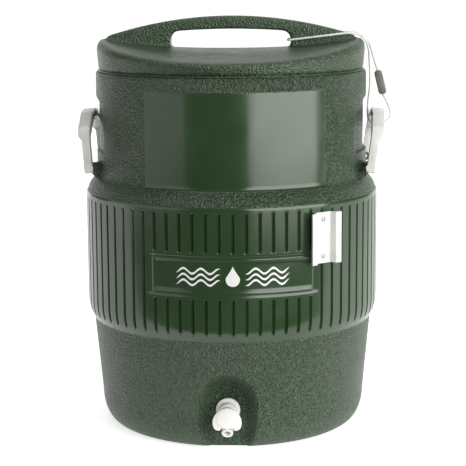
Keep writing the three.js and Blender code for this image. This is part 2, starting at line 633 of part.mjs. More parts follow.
function bracketScrew(height) {
  const headSeat = BRACKET_SEAT + BRACKET_THICKNESS + CLEARANCE;
  const headTop = headSeat + SCREW_HEAD_HEIGHT;
  const profile = [
    point(0, headTop), point(SCREW_HEAD_RADIUS * 0.7, headTop - 0.3), point(SCREW_HEAD_RADIUS, headSeat),
    point(SCREW_RADIUS, headSeat), point(SCREW_RADIUS, headSeat - SCREW_LENGTH), point(0, headSeat - SCREW_LENGTH - 1),
  ];
  const screw = new THREE.LatheGeometry(profile, 12).rotateX(Math.PI).translate(0, 0, height);
  return atBracket(solid(screw));
}

// ---------- Bails ----------

const ARM_CENTRE = LUG_OUTSIDE + ARM_GAP + ARM_WIDTH / 2;
const PIN_END = ARM_CENTRE + ARM_WIDTH / 2 + CLEARANCE;

// The arch's outline from one side to the other: x across the arms, y up, moved inward by a wall.
function archEdge(half, corner, rise, droop) {
  const edge = new THREE.Path();
  const shoulder = rise - droop;
  edge.moveTo(half, shoulder - corner);
  edge.bezierCurveTo(half, shoulder - 0.4 * corner, half - 0.4 * corner, shoulder, half - corner, shoulder + 0.5);
  edge.quadraticCurveTo(0.45 * half, rise, 0, rise);
  edge.quadraticCurveTo(-0.45 * half, rise, corner - half, shoulder + 0.5);
  edge.bezierCurveTo(0.4 * corner - half, shoulder, -half, shoulder - 0.4 * corner, -half, shoulder - corner);
  return edge.getPoints(4);
}

// One bail, standing on its pivot at the origin with its outer side facing +X.
function bail() {
  const outer = ARM_CENTRE + ARM_WIDTH / 2;
  const inner = ARM_CENTRE - ARM_WIDTH / 2;
  const innerCorner = BAIL_INNER_CORNER;
  const innerRise = BAIL_RISE - GRIP_HEIGHT;
  const outline = new THREE.Shape([
    ...archEdge(outer, BAIL_CORNER, BAIL_RISE, BAIL_DROOP),
    ...arc(-ARM_CENTRE, 0, ARM_WIDTH / 2, 180, 360, 6),
    ...archEdge(inner, innerCorner, innerRise, BAIL_DROOP - 1).reverse(),
    ...arc(ARM_CENTRE, 0, ARM_WIDTH / 2, 180, 360, 6),
  ]);
  const thickness = ARM_INWARD + GRIP_OUTWARD;
  const blank = new THREE.ExtrudeGeometry(outline, { depth: thickness, bevelEnabled: false });
  const stand = (geometry) => solid(geometry.rotateX(Math.PI / 2).rotateZ(Math.PI / 2));
  const whole = stand(blank.translate(0, 0, -ARM_INWARD));
  const gripFoot = innerRise - innerCorner;
  const trim = new THREE.Shape([
    point(ARM_OUTWARD, -2 * ARM_WIDTH), point(ARM_OUTWARD, gripFoot - 6),
    point(GRIP_OUTWARD + PASS, gripFoot + 2), point(GRIP_OUTWARD + PASS, -2 * ARM_WIDTH),
  ]);
  const channel = new THREE.Shape([
    ...archEdge(inner - 2, innerCorner, BAIL_RISE - CHANNEL_WALL, BAIL_DROOP),
    ...archEdge(inner - 2, innerCorner, innerRise + CHANNEL_WALL, BAIL_DROOP - 1).reverse(),
  ]);
  const channelDepth = thickness - CHANNEL_WALL + PASS;
  const slot = new THREE.ExtrudeGeometry(channel, { depth: channelDepth, bevelEnabled: false });
  return whole
    .subtract(solid(slabAlongY(trim, 4 * ARM_CENTRE)))
    .subtract(stand(slot.translate(0, 0, -ARM_INWARD - PASS)))
    .subtract(rod(PIN_RADIUS + CLEARANCE, -outer - PASS, outer + PASS, 0, 16));
}

// One pin, driven into a lug along -Y, with its head outside the bail's arm.
function bailPin() {
  const head = rod(PIN_HEAD_RADIUS, PIN_END, PIN_END + PIN_HEAD_HEIGHT, 0, 20);
  return rod(PIN_RADIUS, LUG_OUTSIDE - PIN_DEPTH, PIN_END + PASS, 0, 16).add(head);
}

// A group standing on a side's pivot axis; side is 1 on the right and -1 on the left.
function pivotGroup(side, pieces) {
  const group = new THREE.Group();
  group.position.set(side * PIVOT_RADIUS, 0, PIVOT_HEIGHT);
  group.add(...pieces);
  return group;
}

function bailGroup(name, side) {
  const piece = mesh(name, bail(), white);
  piece.rotation.set(0, toRadians(side > 0 ? RIGHT_LEAN : LEFT_LEAN), side > 0 ? 0 : Math.PI, 'ZYX');
  return pivotGroup(side, [piece]);
}

function pinGroup(name, side) {
  const pins = [['front', Math.PI], ['rear', 0]].map(([place, turn]) => {
    const pin = mesh(`bail_pin_${name}_${place}`, bailPin(), white);
    pin.rotation.z = turn;
    return pin;
  });
  return pivotGroup(side, pins);
}

// ---------- Lid ----------

const LID_BOTTOM = RIM_HEIGHT + CLEARANCE;
const LID_RADIUS = WALL_RADIUS - LID_INSET;
const LID_FOOT = LID_BOTTOM + LID_LIP;
const SEAT_HEIGHT = RIM_HEIGHT + LID_CROWN;
const PLUG_RADIUS = LINER_RADIUS - LINER_WALL - PLUG_GAP;
const HANDLE_HALF_LENGTH = LID_RADIUS - HANDLE_INSET;

// Height of the seat: a saddle that rises to the sides and falls to the front and back.
function seatHeight(x, y) {
  const across = Math.min(Math.abs(x) / LID_RADIUS, 1);
  const along = Math.min(Math.abs(y) / LID_RADIUS, 1);
  return SEAT_HEIGHT + SEAT_RISE * across ** 2.6 - SEAT_FALL * along ** 1.15;
}

// Bends a flat-topped turning into the seat's shape, stretching it from the lid's foot up.
function bend(geometry, inset) {
  const position = geometry.attributes.position;
  const flat = SEAT_HEIGHT - inset - LID_FOOT;
  for (let i = 0; i < position.count; i += 1) {
    const rise = position.getZ(i) - LID_FOOT;
    if (rise <= 0) continue;
    const target = seatHeight(position.getX(i), position.getY(i)) - inset - LID_FOOT;
    position.setZ(i, LID_FOOT + (rise * target) / flat);
  }
  return geometry;
}

// The lid's outline before bending, moved inward, from its axis up its side and back over its top.
function lidProfile(inset, bottom) {
  const top = SEAT_HEIGHT - inset;
  const side = LID_RADIUS - inset;
  const edge = arc(side - LID_EDGE, top - LID_EDGE, LID_EDGE, 0, 90, 2);
  const seat = [...SEAT_RINGS.map((share) => point(share * side, top)), point(0, top)];
  return [point(0, bottom), point(side - LID_TAPER, bottom), point(side - LID_TAPER, LID_FOOT), ...edge, ...seat];
}

// The upright web over the seat, with the hand opening.
function lidHandle() {
  const top = RIM_HEIGHT + HANDLE_RISE;
  const ends = top - HANDLE_SAG;
  const web = new THREE.Shape();
  web.moveTo(-HANDLE_HALF_LENGTH, SEAT_HEIGHT - LID_EDGE);
  web.lineTo(HANDLE_HALF_LENGTH, SEAT_HEIGHT - LID_EDGE);
  web.lineTo(HANDLE_HALF_LENGTH, ends);
  web.quadraticCurveTo(0, top + HANDLE_SAG, -HANDLE_HALF_LENGTH, ends);
  const [half, corner] = [OPENING_HALF_LENGTH, OPENING_CORNER];
  const middle = RIM_HEIGHT + OPENING_TOP;
  const side = RIM_HEIGHT + OPENING_END_TOP;
  const opening = new THREE.Shape();
  opening.moveTo(-half, SEAT_HEIGHT - LID_EDGE / 2);
  opening.lineTo(-half, side - corner);
  opening.quadraticCurveTo(-half, side, corner - half, side);
  opening.quadraticCurveTo(0, 2 * middle - side, half - corner, side);
  opening.quadraticCurveTo(half, side, half, side - corner);
  opening.lineTo(half, SEAT_HEIGHT - LID_EDGE / 2);
  const cut = slabAlongY(opening, 2 * HANDLE_HALF_THICKNESS + 2 * PASS);
  return solid(slabAlongY(web, 2 * HANDLE_HALF_THICKNESS, HANDLE_ROUND)).subtract(solid(cut));
}

function lidShell() {
  const outside = solid(bend(turned(lidProfile(0, LID_BOTTOM), LID_SIDES), 0));
  const inside = solid(bend(turned(lidProfile(LID_WALL, LID_BOTTOM - PASS), COARSE_SIDES), LID_WALL));
  return outside.add(lidHandle()).subtract(inside);
}

function lidLiner() {
  const bottom = LID_BOTTOM - PLUG_DEPTH;
  const flange = LID_RADIUS - LID_TAPER - LID_WALL - CLEARANCE;
  const [outer, inner] = [PLUG_RADIUS, PLUG_RADIUS - PLUG_WALL];
  return solid(turned([
    point(0, bottom), point(outer - PLUG_CHAMFER, bottom), point(outer, bottom + PLUG_CHAMFER),
    point(outer, LID_BOTTOM), point(flange, LID_BOTTOM), point(flange, LID_BOTTOM + PLUG_WALL),
    point(inner, LID_BOTTOM + PLUG_WALL), point(inner, bottom + PLUG_CHAMFER + 1),
    point(inner - PLUG_CHAMFER, bottom + PLUG_WALL), point(0, bottom + PLUG_WALL),
  ], COARSE_SIDES));
}

function lidFoam() {
  const inset = LID_WALL + CLEARANCE;
  const bottom = LID_BOTTOM + PLUG_WALL + CLEARANCE;
  const upper = solid(bend(turned(lidProfile(inset, bottom), COARSE_SIDES), inset));
  const floor = LID_BOTTOM - PLUG_DEPTH + PLUG_WALL + CLEARANCE;
  const radius = PLUG_RADIUS - PLUG_WALL - CLEARANCE;
  const lower = turned([
    point(0, floor), point(radius - PLUG_CHAMFER, floor), point(radius, floor + PLUG_CHAMFER + 1),
    point(radius, bottom + PASS), point(0, bottom + PASS),
  ], COARSE_SIDES);
  return upper.add(solid(lower));
}

// ---------- Tether ----------

const CORD_CURVE = new THREE.CatmullRomCurve3(CORD_POINTS.map(([x, y, z]) => new THREE.Vector3(x, y, z)));

function tetherCord() {
  return swept(CORD_CURVE, CORD_DIAMETER / 2, CORD_SIDES, CORD_STEPS);
}

// The clip that joins the cord's two ends, between them and in line with both.
function clipMesh() {
  const lower = CORD_CURVE.getPoint(0);
  const upper = CORD_CURVE.getPoint(1);
  const length = lower.distanceTo(upper) - 2 * CLEARANCE;
  const [half, width] = [length / 2, CLIP_WIDTH / 2];
  const outline = new THREE.Shape([
    point(-width + CLIP_CHAMFER, -half), point(width - CLIP_CHAMFER, -half), point(width, CLIP_CHAMFER - half),
    point(width, half - CLIP_CHAMFER), point(width - CLIP_CHAMFER, half), point(CLIP_CHAMFER - width, half),
    point(-width, half - CLIP_CHAMFER), point(-width, CLIP_CHAMFER - half),
  ]);
  const clip = mesh('cord_clip', solid(slabAlongY(outline, CLIP_DEPTH, 1)), clipGrey);
  clip.position.copy(lower).lerp(upper, 0.5);
  const along = upper.clone().sub(lower).normalize();
  clip.quaternion.setFromUnitVectors(new THREE.Vector3(0, 0, 1), along);
  return clip;
}

// ---------- Assembly ----------

const jug = new THREE.Group();
jug.name = 'drinks_jug';
jug.add(
  mesh('outer_shell', outerShell(), green),
  mesh('foam_insulation', foamInsulation(), foamCream),
  mesh('inner_liner', innerLiner(), linerWhite),
  mesh('spigot_body', spigotBody(), white),
  mesh('spigot_outer_gasket', gasket(-(POCKET_BACK + CLEARANCE + GASKET_THICKNESS)), rubberBlack),
  mesh('spigot_inner_gasket', gasket(INNER_GASKET_FRONT), rubberBlack),
  mesh('spigot_lock_nut', lockNut(), white),
  mesh('push_button', pushButton(), white),
  mesh('valve_stem', valveStem(), white),
  mesh('valve_seal', valveSeal(), rubberBlack),
  mesh('return_spring', returnSpring(), springSteel),
  mesh('cup_bracket', cupBracket(), white),
  mesh('bracket_screw_upper', bracketScrew(SCREW_HEIGHTS[0]), screwSteel),
  mesh('bracket_screw_lower', bracketScrew(SCREW_HEIGHTS[1]), screwSteel),
  bailGroup('bail_left', -1),
  bailGroup('bail_right', 1),
  pinGroup('left', -1),
  pinGroup('right', 1),
  mesh('lid_shell', lidShell(), green),
  mesh('lid_foam', lidFoam(), foamCream),
  mesh('lid_liner', lidLiner(), linerWhite),
  mesh('tether_cord', tetherCord(), cordWhite),
  clipMesh(),
);

export default jug;
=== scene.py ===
# %% [markdown]
# # An insulated drinks jug
# The jug is a green polyethylene body with a ribbed band, a lid with a carrying handle, two white bails,
# a push-button spigot, a bracket for a cup dispenser and a braided lid tether. The imported model is the fixed
# frame: every piece made here goes where that frame says, and all but the tether cord ride on one of its bodies.

# %% Load the frame
import math

import bmesh
import bpy
import numpy as np
from mathutils import Matrix, Vector


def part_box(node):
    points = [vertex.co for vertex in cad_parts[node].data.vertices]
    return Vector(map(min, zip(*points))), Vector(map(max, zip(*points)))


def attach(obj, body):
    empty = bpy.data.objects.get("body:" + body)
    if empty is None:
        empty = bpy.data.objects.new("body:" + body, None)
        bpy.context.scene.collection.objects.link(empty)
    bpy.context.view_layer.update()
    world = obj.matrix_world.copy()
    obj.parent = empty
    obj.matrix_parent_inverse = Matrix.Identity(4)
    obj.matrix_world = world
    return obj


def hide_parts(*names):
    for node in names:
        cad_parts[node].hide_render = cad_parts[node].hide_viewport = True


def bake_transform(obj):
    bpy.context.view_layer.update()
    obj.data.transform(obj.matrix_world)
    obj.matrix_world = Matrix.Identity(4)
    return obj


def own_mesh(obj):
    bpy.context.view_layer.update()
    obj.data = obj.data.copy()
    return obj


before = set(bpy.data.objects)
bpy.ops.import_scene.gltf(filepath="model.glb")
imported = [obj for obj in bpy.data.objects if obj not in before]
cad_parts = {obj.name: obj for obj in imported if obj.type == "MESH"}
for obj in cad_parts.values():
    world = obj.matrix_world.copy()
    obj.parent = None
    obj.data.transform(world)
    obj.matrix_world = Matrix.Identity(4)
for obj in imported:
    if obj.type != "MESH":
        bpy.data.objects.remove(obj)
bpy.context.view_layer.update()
MM = 0.001

# %% [markdown]
# ## Camera
# A long lens from two metres away, a little above the rim and looking down ten degrees, keeps the jug's sides
# nearly parallel. The camera stands slightly to the jug's right, so the spigot looks left of the middle.

# %% Camera
CAMERA_DISTANCE = 1.9486
CAMERA_HEIGHT = 0.5802
CAMERA_TILT = 9.845
CAMERA_SIDE = 2.3
LENS = 116.3
SHIFT_X = 0.0022
CAMERA_ROLL = -0.38

camera = bpy.data.objects.new("camera", bpy.data.cameras.new("camera"))
bpy.context.scene.collection.objects.link(camera)
camera.data.lens = LENS
camera.data.sensor_width = 36
camera.data.shift_x = SHIFT_X
side = math.radians(CAMERA_SIDE)
camera.location = (CAMERA_DISTANCE * math.sin(side), -CAMERA_DISTANCE * math.cos(side), CAMERA_HEIGHT)
turns = ((side, "Z"), (math.radians(90 - CAMERA_TILT), "X"), (math.radians(CAMERA_ROLL), "Z"))
aim = Matrix.Identity(3)
for angle, axis in turns:
    aim = aim @ Matrix.Rotation(angle, 3, axis)
camera.rotation_euler = aim.to_euler()
bpy.context.scene.camera = camera
print("the camera stands", CAMERA_DISTANCE, "m away with a lens of", LENS, "mm")

# %% [markdown]
# ## Studio
# A white sweep of floor and a white surround keep the picture pale. Glossy polyethylene is drawn by what it
# mirrors, so a wide soft light stands on each side with a gap between them: the right one gives the broad
# bright streak and the gap gives the dark one. The floor stops just in front of the jug, out of the picture,
# so that its glow isn't mirrored in the smooth panel.

# %% Floor, surround and lights
def area_light(name, place, aim, size, power):
    lamp = bpy.data.lights.new(name, "AREA")
    lamp.shape = "RECTANGLE"
    lamp.size, lamp.size_y = size
    lamp.energy = power
    light = bpy.data.objects.new(name, lamp)
    light.location = place
    light.rotation_euler = (Vector(aim) - Vector(place)).to_track_quat("-Z", "Y").to_euler()
    bpy.context.scene.collection.objects.link(light)
    return light


bpy.context.scene.view_settings.view_transform = "Standard"
world = bpy.data.worlds.new("studio")
bpy.context.scene.world = world
world.use_nodes = True
world.node_tree.nodes["Background"].inputs["Color"].default_value = (1, 1, 1, 1)
world.node_tree.nodes["Background"].inputs["Strength"].default_value = 0.12

floor_mesh = bpy.data.meshes.new("floor")
floor_mesh.from_pydata([(-30, -0.35, 0), (30, -0.35, 0), (30, 200, 0), (-30, 200, 0)], [], [(0, 1, 2, 3)])
floor = bpy.data.objects.new("floor", floor_mesh)
floor.location.z = -0.0005
bpy.context.scene.collection.objects.link(floor)

def round_the_jug(azimuth, distance, height):
    angle = math.radians(azimuth)
    return (distance * math.sin(angle), -distance * math.cos(angle), height)


area_light("right_softbox", round_the_jug(47, 2.4, 0.9), (0, 0, 0.28), (3.0, 2.0), 84)
area_light("left_softbox", round_the_jug(-70, 2.3, 0.8), (0, 0, 0.28), (3.4, 1.8), 16)
area_light("back_softbox", (0, 3.5, 1.3), (0, 0, 0.5), (6, 2.4), 56)
area_light("top_softbox", (0, 0.2, 2.2), (0, 0, 0.4), (1.6, 1.4), 16)
print("four lights stand round the jug")

# %% [markdown]
# ## Materials
# One function adds a node with its settings and links, and one turns an sRGB hex value to the linear colour
# that a shader works in. Patterns read Object coordinates, in metres, so their scales come from real sizes.

# %% Node and colour helpers
def add(tree, kind, links=None, **settings):
    node = tree.nodes.new(kind)
    for name, value in settings.items():
        setattr(node, name, value)
    for socket, value in (links or {}).items():
        if isinstance(value, bpy.types.NodeSocket):
            tree.links.new(value, node.inputs[socket])
        else:
            node.inputs[socket].default_value = value
    return node


def linear(code):
    parts = [int(code[i : i + 2], 16) / 255 for i in (1, 3, 5)]
    return tuple(p / 12.92 if p <= 0.04045 else ((p + 0.055) / 1.055) ** 2.4 for p in parts) + (1.0,)


def new_material(name):
    material = bpy.data.materials.new(name)
    material.use_nodes = True
    tree = material.node_tree
    shader = tree.nodes["Principled BSDF"]
    place = add(tree, "ShaderNodeTexCoord").outputs["Object"]
    return material, tree, shader, place


def grain(tree, place, size, detail=2.0, roughness=0.5):
    links = {"Vector": place, "Scale": 1 / size, "Detail": detail, "Roughness": roughness}
    return add(tree, "ShaderNodeTexNoise", links).outputs["Fac"]


def ramp(tree, value, low, high, start=0.0, end=1.0, smooth=True):
    links = {"Value": value, "From Min": low, "From Max": high, "To Min": start, "To Max": end}
    kind = "SMOOTHSTEP" if smooth else "LINEAR"
    return add(tree, "ShaderNodeMapRange", links, interpolation_type=kind).outputs["Result"]


def tint(tree, factor, first, second):
    mix = add(tree, "ShaderNodeMix", data_type="RGBA")
    for socket, value in ((0, factor), (6, first), (7, second)):
        if isinstance(value, bpy.types.NodeSocket):
            tree.links.new(value, mix.inputs[socket])
        else:
            mix.inputs[socket].default_value = value
    return mix.outputs[2]


def product(tree, first, second):
    return add(tree, "ShaderNodeMath", {0: first, 1: second}, operation="MULTIPLY").outputs[0]


# %% [markdown]
# ### Green polyethylene
# The body and the lid are moulded high-density polyethylene, coloured right through. Where the mould was
# blasted, the skin is a pebble of blunt grains about two millimetres across that scatters small glints, and
# where it was polished the skin is smooth with a waxy shine. The grain is drawn by bump: a sharp Voronoi for
# the grains and a soft noise to break up their rows. Its colour also holds painted light: the hollows are
# painted dark as painted shade and the tops a little lighter as painted highlight. A mask on height and
# azimuth keeps the band and the front panel smooth.

# %% Green polyethylene
SHELL_LOW, SHELL_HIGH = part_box("outer_shell")
BAND_RADIUS = SHELL_HIGH.x
RIM = SHELL_HIGH.z
BAND_BOTTOM, BAND_TOP = 138 * MM, 304 * MM
PANEL_BOTTOM, PANEL_TOP = 321 * MM, 439 * MM
PANEL_LEFT, PANEL_RIGHT = math.radians(-35), math.radians(43.5)
PEBBLE, PEBBLE_RELIEF = 2.3 * MM, 2.6 * MM
GREEN, GREEN_WORN = linear("#273e22"), linear("#2b4326")
# The pit tone is painted shade for the grain's hollows, and the top tone is a painted highlight on the grain.
GREEN_PAINTED_PIT_SHADE, GREEN_PAINTED_CROWN_HIGHLIGHT = linear("#10200b"), linear("#2f482a")


def pebbled_mask(tree, place):
    split = add(tree, "ShaderNodeSeparateXYZ", {"Vector": place})
    x, y, z = (split.outputs[i] for i in range(3))
    azimuth = add(tree, "ShaderNodeMath", {0: x, 1: product(tree, y, -1.0)}, operation="ARCTAN2").outputs[0]
    centre = (PANEL_LEFT + PANEL_RIGHT) / 2
    middle = add(tree, "ShaderNodeMath", {0: azimuth, 1: centre}, operation="SUBTRACT")
    off_axis = add(tree, "ShaderNodeMath", {0: middle.outputs[0]}, operation="ABSOLUTE").outputs[0]
    edge = (PANEL_RIGHT - PANEL_LEFT) / 2
    off_panel_side = ramp(tree, off_axis, edge - 0.012, edge)
    under_panel = ramp(tree, z, PANEL_BOTTOM - 0.001, PANEL_BOTTOM + 0.001, 1, 0)
    over_panel = ramp(tree, z, PANEL_TOP - 0.001, PANEL_TOP + 0.002)
    off_panel = off_panel_side
    for part in (under_panel, over_panel):
        off_panel = add(tree, "ShaderNodeMath", {0: off_panel, 1: part}, operation="MAXIMUM").outputs[0]
    below_band = ramp(tree, z, BAND_BOTTOM - 0.001, BAND_BOTTOM + 0.003, 1, 0)
    above_band = ramp(tree, z, BAND_TOP - 0.0005, BAND_TOP + 0.0015)
    off_band = add(tree, "ShaderNodeMath", {0: below_band, 1: above_band}, operation="MAXIMUM").outputs[0]
    return product(tree, off_panel, off_band)


def green_polyethylene(name, masked, strength):
    material, tree, shader, place = new_material(name)
    mask = pebbled_mask(tree, place) if masked else 1.0
    voronoi_links = {"Vector": place, "Scale": 1 / PEBBLE, "Smoothness": 0.35, "Randomness": 1.0}
    cells = add(tree, "ShaderNodeTexVoronoi", voronoi_links, feature="SMOOTH_F1").outputs["Distance"]
    soft = grain(tree, place, PEBBLE * 1.6, 3.0, 0.6)
    height = add(tree, "ShaderNodeMath", {0: cells, 1: soft}, operation="ADD").outputs[0]
    bump_links = {"Strength": product(tree, mask, strength), "Distance": PEBBLE_RELIEF, "Height": height}
    pebbles = add(tree, "ShaderNodeBump", bump_links)
    ripple = grain(tree, place, 45 * MM, 1.0)
    waxy = add(tree, "ShaderNodeBump", {"Strength": 0.12, "Distance": 1.2 * MM, "Height": ripple})
    tree.links.new(pebbles.outputs[0], waxy.inputs["Normal"])
    patches = ramp(tree, grain(tree, place, 60 * MM, 3.0), 0.35, 0.7)
    smooth = tint(tree, patches, GREEN, GREEN_WORN)
    # By the grain's height, hollows are painted dark as painted shade and tops lighter as painted highlight.
    painted_pit_shade_and_top_highlight = tint(tree, ramp(tree, height, 0.62, 1.15), GREEN_PAINTED_PIT_SHADE, GREEN_PAINTED_CROWN_HIGHLIGHT)
    tree.links.new(tint(tree, mask, smooth, painted_pit_shade_and_top_highlight), shader.inputs["Base Color"])
    smudge = ramp(tree, grain(tree, place, 30 * MM, 4.0), 0.3, 0.75, 0.0, 0.05)
    skin = ramp(tree, mask, 0.0, 1.0, 0.17, 0.38, smooth=False) if masked else 0.36
    rough = add(tree, "ShaderNodeMath", {0: skin, 1: smudge}, operation="ADD").outputs[0]
    tree.links.new(rough, shader.inputs["Roughness"])
    tree.links.new(waxy.outputs[0], shader.inputs["Normal"])
    shader.inputs["IOR"].default_value = 1.62
    return material


SHELL_GREEN = green_polyethylene("moulded_green_polyethylene_body", True, 1.0)
LID_GREEN = green_polyethylene("moulded_green_polyethylene_lid", False, 0.5)

# %% [markdown]
# ### White plastics, rubber, steel, foam and cord
# The bails, the spigot and the bracket are white polypropylene with a fine satin grain. The liner is a glossier
# white polyethylene. Foam shows blown cells, steel shows turning marks, and the clip is grey nylon.

# %% Other materials
def plain_plastic(name, code, second, roughness, cell, bump, patch=18 * MM):
    material, tree, shader, place = new_material(name)
    fine = grain(tree, place, cell, 2.0)
    texture = add(tree, "ShaderNodeBump", {"Strength": bump, "Distance": 0.15 * MM, "Height": fine})
    tree.links.new(texture.outputs[0], shader.inputs["Normal"])
    patches = ramp(tree, grain(tree, place, patch, 3.0), 0.3, 0.75)
    tree.links.new(tint(tree, patches, linear(code), linear(second)), shader.inputs["Base Color"])
    rough = ramp(tree, grain(tree, place, patch / 2, 3.0), 0.25, 0.75, roughness - 0.04, roughness + 0.06)
    tree.links.new(rough, shader.inputs["Roughness"])
    shader.inputs["IOR"].default_value = 1.49
    return material


WHITE_PLASTIC = plain_plastic("satin_white_polypropylene", "#e2e1dd", "#dad9d4", 0.34, 0.6 * MM, 0.12)
LINER_WHITE = plain_plastic("smooth_white_polyethylene", "#efefea", "#e6e6e0", 0.26, 1.5 * MM, 0.06)
FOAM = plain_plastic("blown_urethane_foam", "#e4d9ae", "#d6c894", 0.85, 1.2 * MM, 0.8)
RUBBER = plain_plastic("moulded_black_rubber", "#1c1c1c", "#262625", 0.62, 0.5 * MM, 0.3)
CLIP_NYLON = plain_plastic("moulded_grey_nylon", "#75746f", "#686762", 0.4, 0.7 * MM, 0.2, 6 * MM)
PRINT_WHITE = plain_plastic("white_printing_ink", "#f2f2ee", "#e9e9e4", 0.38, 0.5 * MM, 0.08)


def turned_steel():
    material, tree, shader, place = new_material("zinc_plated_steel")
    marks = grain(tree, place, 0.4 * MM, 3.0)
    texture = add(tree, "ShaderNodeBump", {"Strength": 0.15, "Distance": 0.05 * MM, "Height": marks})
    tree.links.new(texture.outputs[0], shader.inputs["Normal"])
    tree.links.new(ramp(tree, marks, 0.3, 0.7, 0.24, 0.4), shader.inputs["Roughness"])
    shader.inputs["Base Color"].default_value = linear("#c8c7c2")
    shader.inputs["Metallic"].default_value = 1.0
    return material


STEEL = turned_steel()


def braided_cord():
    material, tree, shader, place = new_material("braided_white_polyester")
    uv = add(tree, "ShaderNodeTexCoord").outputs["UV"]
    fibres = add(tree, "ShaderNodeTexNoise", {"Vector": uv, "Scale": 60.0, "Detail": 3.0}).outputs["Fac"]
    texture = add(tree, "ShaderNodeBump", {"Strength": 0.4, "Distance": 0.1 * MM, "Height": fibres})
    tree.links.new(texture.outputs[0], shader.inputs["Normal"])
    soil = ramp(tree, grain(tree, place, 12 * MM, 3.0), 0.35, 0.75)
    tree.links.new(tint(tree, soil, linear("#e9e8e3"), linear("#d6d4cc")), shader.inputs["Base Color"])
    shader.inputs["Roughness"].default_value = 0.75
    shader.inputs["Sheen Weight"].default_value = 0.2
    return material


CORD_POLYESTER = braided_cord()

# %% [markdown]
# ## The tether cord
# A braided cord of three millimetres is looped round the lid handle and the right bail's grip, and a clip
# closes the loop. Its route is given and is the one the frame's plain tube follows. The braid is real
# geometry: eight strands, four each way round, raise the tube's surface as they cross.

# %% Cord route and braid
CORD_DIAMETER = 3 * MM
CORD_POINTS = [
    (195.9, 0, 423.6), (201.6, 0, 412.4), (205.4, 0, 401), (203.4, 0, 392), (196.8, 0, 388.4),
    (188.2, 0, 387.6), (181.2, 0, 388.2), (177.4, 0, 392.2), (176.4, 0, 399), (176.4, 0, 408), (177.2, -1, 418),
    (178.4, -2, 428), (179, -3, 443), (178, -4, 466), (176.6, -6, 482), (172.8, -9, 492.5),
    (165.5, -14, 499.6), (153.5, -18.2, 502.6), (141, -19.6, 502), (124, -19.4, 499.9), (99, -18.8, 497),
    (80, -17.6, 494.8), (74.8, -17.2, 494.2), (73.9, -11, 494), (73.9, 11, 494), (74.8, 17.2, 494.2),
    (80, 17.6, 494.8),
    (99, 18.8, 497), (124, 19.4, 499.9), (141, 19.6, 502), (153.5, 18.2, 502.6), (165.5, 14, 500),
    (173.5, 9, 494), (179, 5, 486), (183.6, 2, 470), (188.5, 0, 454.6),
]
BRAID_STEP = 0.55 * MM
BRAID_PITCH = 6 * MM
BRAID_SIDES = 16
BRAID_STRANDS = 4


def smooth_route(points, steps=24):
    """Points of a centripetal Catmull-Rom curve through the given points, as the frame's tube has."""
    line = [np.array(p, float) for p in points]
    line = [2 * line[0] - line[1], *line, 2 * line[-1] - line[-2]]
    route = []
    for p0, p1, p2, p3 in zip(line, line[1:], line[2:], line[3:]):
        t0 = 0.0
        t1 = t0 + np.linalg.norm(p1 - p0) ** 0.5
        t2 = t1 + np.linalg.norm(p2 - p1) ** 0.5
        t3 = t2 + np.linalg.norm(p3 - p2) ** 0.5
        for t in np.linspace(t1, t2, steps, endpoint=False):
            a1 = (t1 - t) / (t1 - t0) * p0 + (t - t0) / (t1 - t0) * p1
            a2 = (t2 - t) / (t2 - t1) * p1 + (t - t1) / (t2 - t1) * p2
            a3 = (t3 - t) / (t3 - t2) * p2 + (t - t2) / (t3 - t2) * p3
            b1 = (t2 - t) / (t2 - t0) * a1 + (t - t0) / (t2 - t0) * a2
            b2 = (t3 - t) / (t3 - t1) * a2 + (t - t1) / (t3 - t1) * a3
            route.append((t2 - t) / (t2 - t1) * b1 + (t - t1) / (t2 - t1) * b2)
    route.append(line[-2])
    return np.array(route)


def evenly(route, step):
    lengths = np.concatenate([[0], np.cumsum(np.linalg.norm(np.diff(route, axis=0), axis=1))])
    places = np.linspace(0, lengths[-1], max(2, round(lengths[-1] / step)))
    return np.stack([np.interp(places, lengths, route[:, i]) for i in range(3)], axis=1), lengths[-1]


def turn_frames(path):
    """A direction across the path at each point, carried along it without twisting."""
    along = np.gradient(path, axis=0)
    along /= np.linalg.norm(along, axis=1)[:, None]
    across = np.cross(along[0], (0.3, 1, 0.2))
    result = []
    for direction in along:
        across = across - direction * np.dot(across, direction)
        across /= np.linalg.norm(across)
        result.append((across.copy(), np.cross(direction, across)))
    return result


def new_piece(name, verts, faces, material=None, smooth=True):
    mesh = bpy.data.meshes.new(name)
    mesh.from_pydata([tuple(map(float, v)) for v in verts], [], faces)
    mesh.update()
    piece = bpy.data.objects.new(name, mesh)
    bpy.context.scene.collection.objects.link(piece)
    mesh.polygons.foreach_set("use_smooth", [smooth] * len(mesh.polygons))
    if material:
        mesh.materials.append(material)
    return piece


def outward(piece):
    """Merges doubles and turns all faces outward."""
    work = bmesh.new()
    work.from_mesh(piece.data)
    bmesh.ops.remove_doubles(work, verts=work.verts, dist=1e-6)
    bmesh.ops.recalc_face_normals(work, faces=work.faces)
    work.to_mesh(piece.data)
    work.free()
    return piece


def tube_faces(rings, sides):
    faces = []
    for i in range(rings - 1):
        for j in range(sides):
            k = (j + 1) % sides
            faces.append((i * sides + j, i * sides + k, (i + 1) * sides + k, (i + 1) * sides + j))
    faces.append(tuple(reversed(range(sides))))
    faces.append(tuple((rings - 1) * sides + j for j in range(sides)))
    return faces


